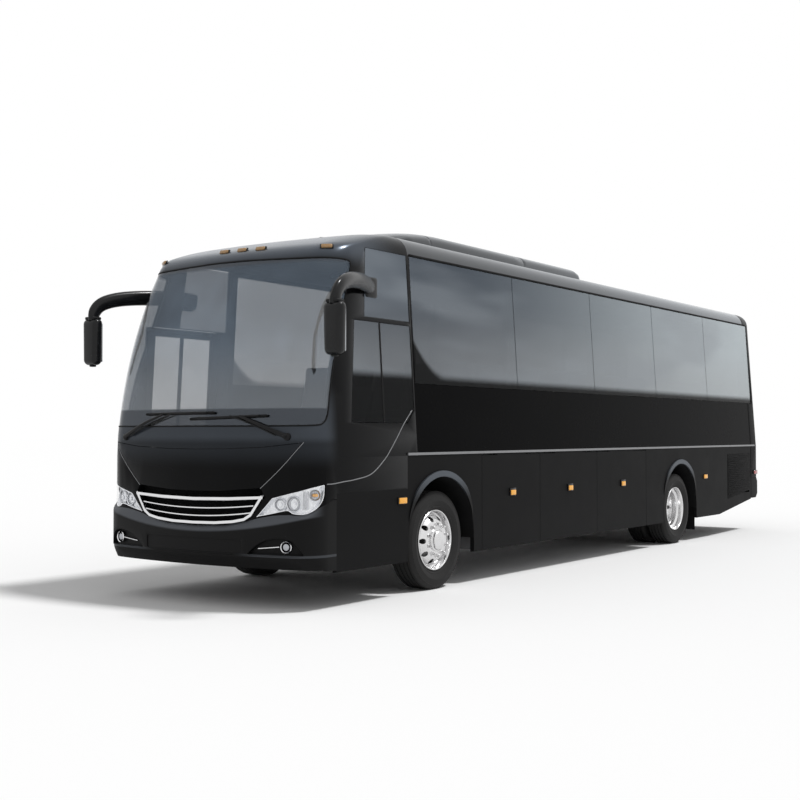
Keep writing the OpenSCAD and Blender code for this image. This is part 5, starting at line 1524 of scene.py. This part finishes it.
class COACH_OT_rear(bpy.types.Operator):
    """Rear panel, engine hatch, tail lamps and rear bumper"""
    bl_idname = "coach.rear"
    bl_label = "Rear"

    def execute(self, context):
        body = context.scene.coach_body
        end = tail_end()
        section = end.section
        top = section.eave - 0.008
        shell = plate(rect(-end.reach, 0.82, end.reach, section.top), 0, body.wall)
        window = end.on_face(rect(-0.963, 2.06, 0.963, 3.02))
        lamp = end.on_face(rect(0.9, 1.0, 1.12, 1.56))
        hatch = end.on_face(rect(-0.826, 0.844, 0.826, 1.786))
        cuts = [plate(window, OUTSIDE, 0.0105), plate(window, *THROUGH, shrink=0.045),
                plate(hatch, *THROUGH)]
        for s in (1, -1):
            pane = end.on_side(rect(5.3, 1.99, 5.55, top), s)
            opening = end.on_side(rect(5.3, 2.035, 5.505, top - 0.045), s)
            cuts += [plate([(s * u, v) for u, v in lamp], OUTSIDE, 0.042),
                     plate(pane, OUTSIDE, 0.0085), plate(opening, *THROUGH)]
        piece("rear_panel", formed(end, carve(shell, cuts), body.soft, 0), "gloss_paint",
              slot="body_paint", nodes=["rear_panel"])
        lid = plate(end.on_face(rect(-0.82, 0.85, 0.82, 1.78)), 0, 0.045, corner=0.02)
        cuts = [plate(end.on_face(rect(-0.62, z, 0.62, z + 0.026)), OUTSIDE, 0.03, corner=0.01)
                for z in spaced(1.24, 1.66, 0.06)]
        cuts.append(plate(end.on_face(rect(-0.29, 0.95, 0.29, 1.11)), OUTSIDE, 0.012, corner=0.02))
        piece("engine_hatch", formed(end, carve(lid, cuts), body.soft, 0), "gloss_paint", "engine_hatch",
              "body_paint", ["engine_hatch"])
        case = plate(lamp, -0.003, 0.04, corner=0.03, shrink=0.003)
        parts = [(formed(end, case, 0.004, -0.003), 0)]
        for z, index, r in ((1.47, 1, 0.075), (1.29, 1, 0.075), (1.12, 2, 0.07)):
            aim = end.facing(end.across(1.01, z), z, 0.0, 0.05)
            rim = [(r, -0.004), (r + 0.009, -0.004), (r + 0.007, 0.009), (r, 0.008)]
            dome = [(r, 0.003), (0.8 * r, 0.009), (0.45 * r, 0.012), (TIP, 0.013)]
            parts += [(turned(rim, *aim, 36, True), 3), (turned(dome, *aim, 36), index)]
        y, z = 5.62, 0.90
        case = rounded_box((0.02, 0.17, 0.066), (body.half_width, y, z), 0.005, 2)
        lens = rounded_box((0.026, 0.15, 0.05), (body.half_width + 0.004, y, z), 0.007, 3)
        parts += [(case, 0), (lens, 1)]
        piece("tail_lamps", both_sides(joined(parts)),
              ["gloss_plastic", "red_lens", "amber_lens", "bright_trim"], slot="tail_lens",
              nodes=["tail_lamps"])
        low = tail_bumper_end()
        bar = soften(plate(rect(-low.reach, 0.50, low.reach, 0.82), 0, body.wall), 0.006, 0)
        slice_up(bar, 0, low.stations())
        slice_up(bar, 1, [0.52, 0.54, 0.56, 0.57, 0.58, 0.75, 0.76, 0.77, 0.79])
        piece("rear_bumper", bend(bar, low.place), "satin_paint", slot="skirt_paint",
              nodes=["rear_bumper"])
        return {"FINISHED"}


class COACH_OT_arches(bpy.types.Operator):
    """Wheel arch flares and the liners behind them"""
    bl_idname = "coach.arches"
    bl_label = "Wheel arches"

    def execute(self, context):
        body, wheels = context.scene.coach_body, context.scene.coach_wheels
        r, z0, x0 = wheels.arch_radius, wheels.arch_height, body.half_width
        flares, liners = [], []
        for axle in (body.front_axle, body.rear_axle):
            def around(x, reach, t, axle=axle):
                return Vector((x, axle + reach * math.sin(t), z0 + reach * math.cos(t)))

            def flare(t, w, d, around=around):
                share = clamped((1.24 - abs(t)) / 0.5) ** 0.6
                return around(x0 + d * (0.15 + 0.85 * share), r + (0.058 * w) * share, t)

            def liner(t, w, d, around=around):
                return around(w, r - 0.004 + d, t)

            def cheek(t, w, d, around=around):
                return around(0.55 + d, (r - 0.002) * w + 0.2 * (1 - w), t)

            strip = soften(plate(rect(-1.235, 0.0, 1.235, 1.0), -0.02, 0.018), 0.006, 0.018)
            flares.append((bend(slice_up(strip, 0, spaced(-1.2, 1.2, 0.05)), flare), 0))
            for outline, place in ((rect(-1.62, 0.55, 1.62, x0 - 0.002), liner),
                                   (rect(-1.62, 0.0, 1.62, 1.0), cheek)):
                sheet = slice_up(plate(outline, 0.0, 0.006), 0, spaced(-1.6, 1.6, 0.12))
                liners.append((bend(sheet, place), 0))
        piece("arch_flares", both_sides(joined(flares)), "flare_paint", slot="skirt_paint",
              nodes=["arch_flares"])
        piece("arch_liners", both_sides(joined(liners)), "moulded_rubber", slot="rubber")
        return {"FINISHED"}


def tyre_mesh(x, y, wheels, s=1):
    """Tyre with ribs on its wall and grooves round its tread."""
    r, h = wheels.tyre_radius, wheels.tyre_half
    wall = [(0.2845, 0.092), (0.298, 0.1), (0.312, 0.108), (0.322, 0.117), (0.326, 0.1195),
            (0.330, 0.118), (0.352, 0.129), (0.378, h - 0.001), (0.384, h + 0.001), (0.390, h - 0.001),
            (0.418, h - 0.003), (0.436, h - 0.008), (0.440, h - 0.006), (0.446, h - 0.011),
            (r - 0.018, 0.119), (r - 0.006, 0.109), (r - 0.001, 0.102)]
    tread = []
    for groove in (0.070, 0.024):
        tread += [(r, groove + 0.0075), (r - 0.013, groove + 0.0055), (r - 0.013, groove - 0.0055),
                  (r, groove - 0.0075)]
    half = wall + tread
    profile = half + flipped(reversed(half), -1)
    return spun(flipped(profile, s), (s * x, y, r), 88, False)


def ring_spot(centre, radius, share, s=1):
    """Place and turn of one of the things in a ring round an axle."""
    a = 2 * math.pi * share
    spot = Vector(centre) + Vector((0, radius * math.sin(a), radius * math.cos(a)))
    return Matrix.Translation(spot) @ Matrix.Rotation(s * math.pi / 2, 4, "Y")


def nut_ring(centre, count, radius, s, height=0.03, size=0.0165):
    """Ring of wheel nuts on washers."""
    bm = bmesh.new()
    for k in range(count):
        spot = ring_spot(centre, radius, k / count, s)
        for sides, low, high, depth, lift in ((16, 1.35, 1.3, 0.006, 0.003), (6, 1, 0.93, height, height / 2),
                                              (12, 0.6, 0.5, 0.012, height + 0.005)):
            bmesh.ops.create_cone(bm, cap_ends=True, segments=sides, radius1=low * size,
                                  radius2=high * size, depth=depth,
                                  matrix=spot @ Matrix.Translation((0, 0, lift)))
    return bm


def drilled(disc, centre, count, radius, size=0.026):
    """Takes the hand holes out of a wheel disc."""
    holes = bmesh.new()
    for k in range(count):
        bmesh.ops.create_cone(holes, cap_ends=True, segments=20, radius1=size, radius2=size, depth=0.5,
                              matrix=ring_spot(centre, radius, (k + 0.5) / count))
    return carve(disc, [holes])


# Profiles of the wheels: radius, and offset outward from the middle of the tyre
BARREL = [(0.2815, 0.09), (0.293, 0.097), (0.2965, 0.1075), (0.292, 0.1125), (0.285, 0.109),
          (0.279, 0.099), (0.273, 0.05), (0.246, 0.03), (0.246, -0.03), (0.273, -0.05), (0.279, -0.1),
          (0.285, -0.108), (0.2965, -0.1075), (0.293, -0.097), (0.2815, -0.09), (0.2815, -0.054),
          (0.2495, -0.027), (0.2495, 0.027), (0.2815, 0.054)]
FRONT_DISC = [(0.247, 0.012), (0.252, 0.03), (0.248, 0.052), (0.238, 0.076), (0.222, 0.098),
              (0.204, 0.114), (0.19, 0.123), (0.172, 0.128), (0.14, 0.129), (0.128, 0.127),
              (0.06, 0.127), (0.06, 0.111), (0.172, 0.112), (0.19, 0.107), (0.206, 0.096),
              (0.222, 0.078), (0.234, 0.056), (0.238, 0.03), (0.236, 0.012)]
FRONT_HUB = [(0.112, 0.118), (0.112, 0.134), (0.106, 0.139), (0.099, 0.141), (0.096, 0.148),
             (0.094, 0.158), (0.086, 0.166), (0.06, 0.169), (0.02, 0.170), (TIP, 0.170)]
FRONT_BACK = [(0.12, -0.057), (0.12, 0.11), (0.047, 0.11), (0.047, -0.057)]
REAR_DISC = [(0.240, -0.022), (0.246, -0.034), (0.236, -0.062), (0.226, -0.092), (0.21, -0.118),
             (0.194, -0.134), (0.176, -0.141), (0.06, -0.142), (0.06, -0.155), (0.18, -0.155),
             (0.2, -0.148), (0.218, -0.132), (0.234, -0.106), (0.244, -0.07), (0.2495, -0.034),
             (0.2495, -0.022)]
REAR_HUB = [(0.128, -0.145), (0.128, -0.12), (0.118, -0.1), (0.108, -0.075), (0.1, -0.068),
            (0.05, -0.064), (TIP, -0.063)]
REAR_BACK = [(0.12, -0.25), (0.12, -0.16), (0.047, -0.16), (0.047, -0.25)]


class COACH_OT_wheels(bpy.types.Operator):
    """Front wheels and twin rear wheels"""
    bl_idname = "coach.wheels"
    bl_label = "Wheels"

    def execute(self, context):
        body, wheels = context.scene.coach_body, context.scene.coach_wheels
        x, y, z = wheels.track_x, body.front_axle, wheels.tyre_radius
        for side, s in SIDES:
            name, at = "wheel_front_" + side, (s * x, y, z)
            piece("tyre_front_" + side, tyre_mesh(x, y, wheels, s), "tyre_rubber", name, "tyre",
                  ["tyre_front_" + side])
            disc = drilled(spun(flipped(FRONT_DISC, s), at, 80), at, wheels.hand_holes, 0.213)
            nuts = nut_ring((s * (x + 0.128), y, z), wheels.nuts, 0.1555, s)
            parts = [(spun(flipped(BARREL, s), at, 80), 0), (disc, 0),
                     (spun(flipped(FRONT_HUB, s), at, 64, False), 0),
                     (spun(flipped(FRONT_BACK, s), at, 48), 1), (nuts, 0)]
            piece("rim_front_" + side, joined(parts), ["polished_wheel", "cast_metal"], name, "alloy",
                  ["rim_front_" + side])
            self.rear(side, s, body, wheels)
        dress("cast_metal", "knuckle_left", "knuckle_right", "front_axle", "rear_axle")
        dress("moulded_rubber", "air_springs", "mud_flaps")
        return {"FINISHED"}

    def rear(self, side, s, body, wheels):
        """Twin wheel with a deep outer dish."""
        x, y, z = wheels.track_x, body.rear_axle, wheels.tyre_radius
        far = x - wheels.twin_pitch
        name, at, deep = "wheels_rear_" + side, (s * x, y, z), (s * far, y, z)
        tyres = joined([(tyre_mesh(x, y, wheels, s), 0), (tyre_mesh(far, y, wheels, s), 0)])
        piece("tyres_rear_" + side, tyres, "tyre_rubber", name, "tyre", ["tyres_rear_" + side])
        disc = drilled(spun(flipped(REAR_DISC, s), at, 80), at, wheels.hand_holes, 0.217)
        nuts = nut_ring((s * (x - 0.141), y, z), wheels.nuts, 0.1675, s, 0.034)
        parts = [(spun(flipped(BARREL, s), at, 80), 0), (spun(flipped(BARREL, s), deep, 64), 0),
                 (disc, 0), (spun(flipped(REAR_DISC, -s), deep, 64), 0),
                 (spun(flipped(REAR_HUB, s), at, 60, False), 0),
                 (spun(flipped(REAR_BACK, s), at, 48), 1), (nuts, 0)]
        piece("rims_rear_" + side, joined(parts), ["polished_wheel", "cast_metal"], name, "alloy",
              ["rims_rear_" + side])


# Left mirror: out from the middle, ahead of the front axle, up
MIRROR_ARM = [(1.10, 0.98, 2.852), (1.19, 1.18, 2.868), (1.30, 1.45, 2.868), (1.40, 1.72, 2.838),
              (1.452, 1.90, 2.782), (1.467, 1.99, 2.70), (1.467, 2.013, 2.60)]
MIRROR_HEAD = (1.467, 2.013, 2.402)


class COACH_OT_mirrors(bpy.types.Operator):
    """Mirrors on bent arms"""
    bl_idname = "coach.mirrors"
    bl_label = "Mirrors"

    def execute(self, context):
        y = context.scene.coach_body.front_axle
        path = eased([(x, y - ahead, z) for x, ahead, z in MIRROR_ARM], 5)
        sizes = [0.080 - 0.018 * k / (len(path) - 1) for k in range(len(path))]
        arm = tube(path, sizes, 0.62, 20)
        x, ahead, z = MIRROR_HEAD
        foot = rounded_box((0.05, 0.17, 0.19), (1.148, y - 1.06, 2.852), 0.02, 3)
        head = rounded_box((0.2, 0.11, 0.45), (x, y - ahead, z), 0.05, 5)
        for vert in head.verts:
            lift = (vert.co.z - z) / 0.225
            if vert.co.y < y - ahead:
                vert.co.y -= 0.012 * (1 - lift * lift)
            vert.co.x = x + (vert.co.x - x) * (0.94 + 0.06 * lift)
        glass = rounded_box((0.150, 0.008, 0.37), (x, y - 1.9605, 2.395), 0.003, 2)
        collar = rounded_box((0.13, 0.10, 0.03), (x, y - ahead, 2.630), 0.012, 3)
        knob = rounded_box((0.05, 0.05, 0.02), (x, y - ahead, 2.172), 0.008, 2)
        parts = [(arm, 0), (foot, 0), (head, 0), (collar, 2), (knob, 2), (glass, 1)]
        piece("mirrors", both_sides(joined(parts)), ["gloss_plastic", "mirror_glass", "moulded_plastic"],
              slot="trim_plastic", nodes=["mirrors"], angle=45)
        return {"FINISHED"}


# Each wiper on the pattern of the front: pivot, knee and tip of the arm, both ends of the blade
WIPERS = (((0.999, 1.491), (0.751, 1.590), (0.52, 1.672), (-0.05, 1.648), (0.80, 1.672)),
          ((-0.95, 1.486), (-0.66, 1.600), (-0.386, 1.690), (-0.64, 1.694), (0.232, 1.702)))


class COACH_OT_wipers(bpy.types.Operator):
    """Wiper arms and blades"""
    bl_idname = "coach.wipers"
    bl_label = "Wipers"

    def execute(self, context):
        end = front_end()

        def over(u, z, off):
            return tuple(end.place(u, z, -off))

        parts = []
        for pivot, knee, tip, low, high in WIPERS:
            side = math.copysign(1, pivot[0])
            spot = Vector(over(*pivot, 0.0))
            hub = [(0.030, -0.03), (0.034, 0.0), (0.031, 0.018), (0.018, 0.027), (TIP, 0.029)]
            parts.append((turned(hub, spot, Vector(over(*pivot, 0.1)) - spot, 28), 0))
            arm = eased([over(*pivot, 0.022), over(*knee, 0.04), over(*tip, 0.034)], 6)
            sizes = [0.021 - 0.011 * k / (len(arm) - 1) for k in range(len(arm))]
            parts.append((tube(arm, sizes, 0.7, 10), 0))
            second = [over(pivot[0] - side * 0.10, pivot[1] + 0.012, 0.024),
                      over(knee[0] - side * 0.08, knee[1] + 0.004, 0.03),
                      over(tip[0] - side * 0.1, tip[1] + 0.002, 0.03)]
            parts.append((tube(eased(second, 5), 0.007, 0.8, 8), 0))
            run = [tuple(a + (b - a) * t for a, b in zip(low, high)) for t in spaced(0, 1, 0.1)]
            parts.append((tube([over(u, z, 0.012) for u, z in run], 0.012, 0.6, 8), 1))
            parts.append((tube([over(u, z + 0.004, 0.026) for u, z in run[1:-1]], 0.009, 0.8, 8), 0))
        piece("wipers", joined(parts), ["moulded_plastic", "moulded_rubber"], slot="trim_plastic",
              nodes=["wipers"], angle=45)
        return {"FINISHED"}


SEAT_ROWS = 11
SEAT_LEAN = math.radians(12)
PAD_GROWTH = 0.012


class COACH_OT_seats(bpy.types.Operator):
    """Padded seats, their frames and the cab"""
    bl_idname = "coach.seats"
    bl_label = "Seats and cab"

    def execute(self, context):
        cushion = self.pad((0.405, 0.41, 0.13), 0.045)
        back = self.pad((0.405, 0.085, 0.67), 0.038)
        axle = context.scene.coach_body.front_axle
        lean = Matrix.Rotation(-SEAT_LEAN, 4, "X")
        spots = []
        for row in range(SEAT_ROWS):
            for k in (0, 1):
                for s in (1, -1):
                    spots.append((s * (0.24 + k * 0.442 + 0.215), axle + 0.2 + 0.74 * row, 1.61, 0.16))
        spots.append((0.56, axle - 1.18, 1.32, 0.11))
        bm = bmesh.new()
        for x, y, z, deep in spots:
            flat = Matrix.Translation((x, y + 0.22, z + deep / 2)) @ Matrix.Diagonal((1, 1, deep / 0.16, 1))
            upright = Matrix.Translation((x, y + 0.452, z)) @ lean @ Matrix.Translation((0, 0.055, 0.35))
            for mesh, place in ((cushion, flat), (back, upright)):
                first = len(bm.verts)
                bm.from_mesh(mesh)
                bm.verts.ensure_lookup_table()
                bmesh.ops.transform(bm, matrix=place, verts=bm.verts[first:])
        seats = piece("seats", bm, "woven_cloth", slot="seat_cloth", nodes=["seats"], angle=60)
        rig.padded(seats, 0.7)
        for mesh in (cushion, back):
            bpy.data.meshes.remove(mesh)
        dress("moulded_plastic", "seat_frames", "dashboard")
        dress("floor_rubber", "cabin_floor")
        return {"FINISHED"}

    def pad(self, size, radius):
        """Cushion blown up as cloth from a slightly smaller block."""
        bm = rounded_box(size, (0, 0, 0), radius, 2)
        long = [e for e in bm.edges if e.calc_length() > 0.08]
        bmesh.ops.subdivide_edges(bm, edges=long, cuts=4, use_grid_fill=True)
        bmesh.ops.triangulate(bm, faces=[f for f in bm.faces if len(f.verts) > 4])
        made = temporary(bm, "pad")
        start = [v.co.copy() for v in made.data.vertices]
        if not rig.quick():
            cloth = made.modifiers.new("cloth", "CLOTH")
            cloth.settings.use_pressure = True
            cloth.settings.uniform_pressure_force = 4.0
            cloth.settings.effector_weights.gravity = 0.0
            scene = bpy.context.scene
            for step in range(1, 16):
                scene.frame_set(step)
            graph = bpy.context.evaluated_depsgraph_get()
            blown = made.evaluated_get(graph).data
            moves = [v.co - was for v, was in zip(blown.vertices, start)]
            for vert, was, move in zip(made.data.vertices, start, moves):
                vert.co = was + move.normalized() * min(move.length, PAD_GROWTH)
            made.modifiers.clear()
            scene.frame_set(1)
        mesh = made.data
        bpy.data.objects.remove(made)
        return mesh


class COACH_OT_under(bpy.types.Operator):
    """Finishes of the bays, the frame and the engine"""
    bl_idname = "coach.under"
    bl_label = "Underbody"

    def execute(self, context):
        dress("bay_lining", "luggage_bay")
        dress("frame_paint", "chassis_frame")
        dress("tow_paint", "tow_eyes")
        dress("cast_metal", "engine")
        return {"FINISHED"}


class COACH_PT_build(bpy.types.Panel):
    """Lists the building steps"""
    bl_idname = "COACH_PT_build"
    bl_label = "Touring coach"
    bl_space_type = "VIEW_3D"
    bl_region_type = "UI"
    bl_category = "Coach"

    def draw(self, context):
        for step in STEPS:
            self.layout.operator(step.bl_idname)
        for group, kind in GROUPS.items():
            box = self.layout.box()
            for key in kind.__annotations__:
                box.prop(getattr(context.scene, group), key)


STEPS = [COACH_OT_stage, COACH_OT_front, COACH_OT_lamps, COACH_OT_grille, COACH_OT_bumper, COACH_OT_roof,
         COACH_OT_flanks, COACH_OT_rear, COACH_OT_arches, COACH_OT_wheels, COACH_OT_mirrors,
         COACH_OT_wipers, COACH_OT_seats, COACH_OT_under]
GROUPS = {"coach_body": CoachBody, "coach_front": CoachFront, "coach_wheels": CoachWheels,
          "coach_colours": CoachColours, "coach_stage": CoachStage}


def register():
    for kind in list(GROUPS.values()) + STEPS + [COACH_PT_build]:
        bpy.utils.register_class(kind)
    for group, kind in GROUPS.items():
        setattr(bpy.types.Scene, group, PointerProperty(type=kind))


def unregister():
    for group in GROUPS:
        delattr(bpy.types.Scene, group)
    for kind in [COACH_PT_build] + STEPS + list(GROUPS.values()):
        bpy.utils.unregister_class(kind)


def main():
    register()
    for step in STEPS:
        space, name = step.bl_idname.split(".")
        getattr(getattr(bpy.ops, space), name)()
    with open("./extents.json", "w") as out:
        json.dump({"cad": CAD_BOX, "visual": [list(corner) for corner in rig.bounds()]}, out)


if __name__ == "__main__":
    main()
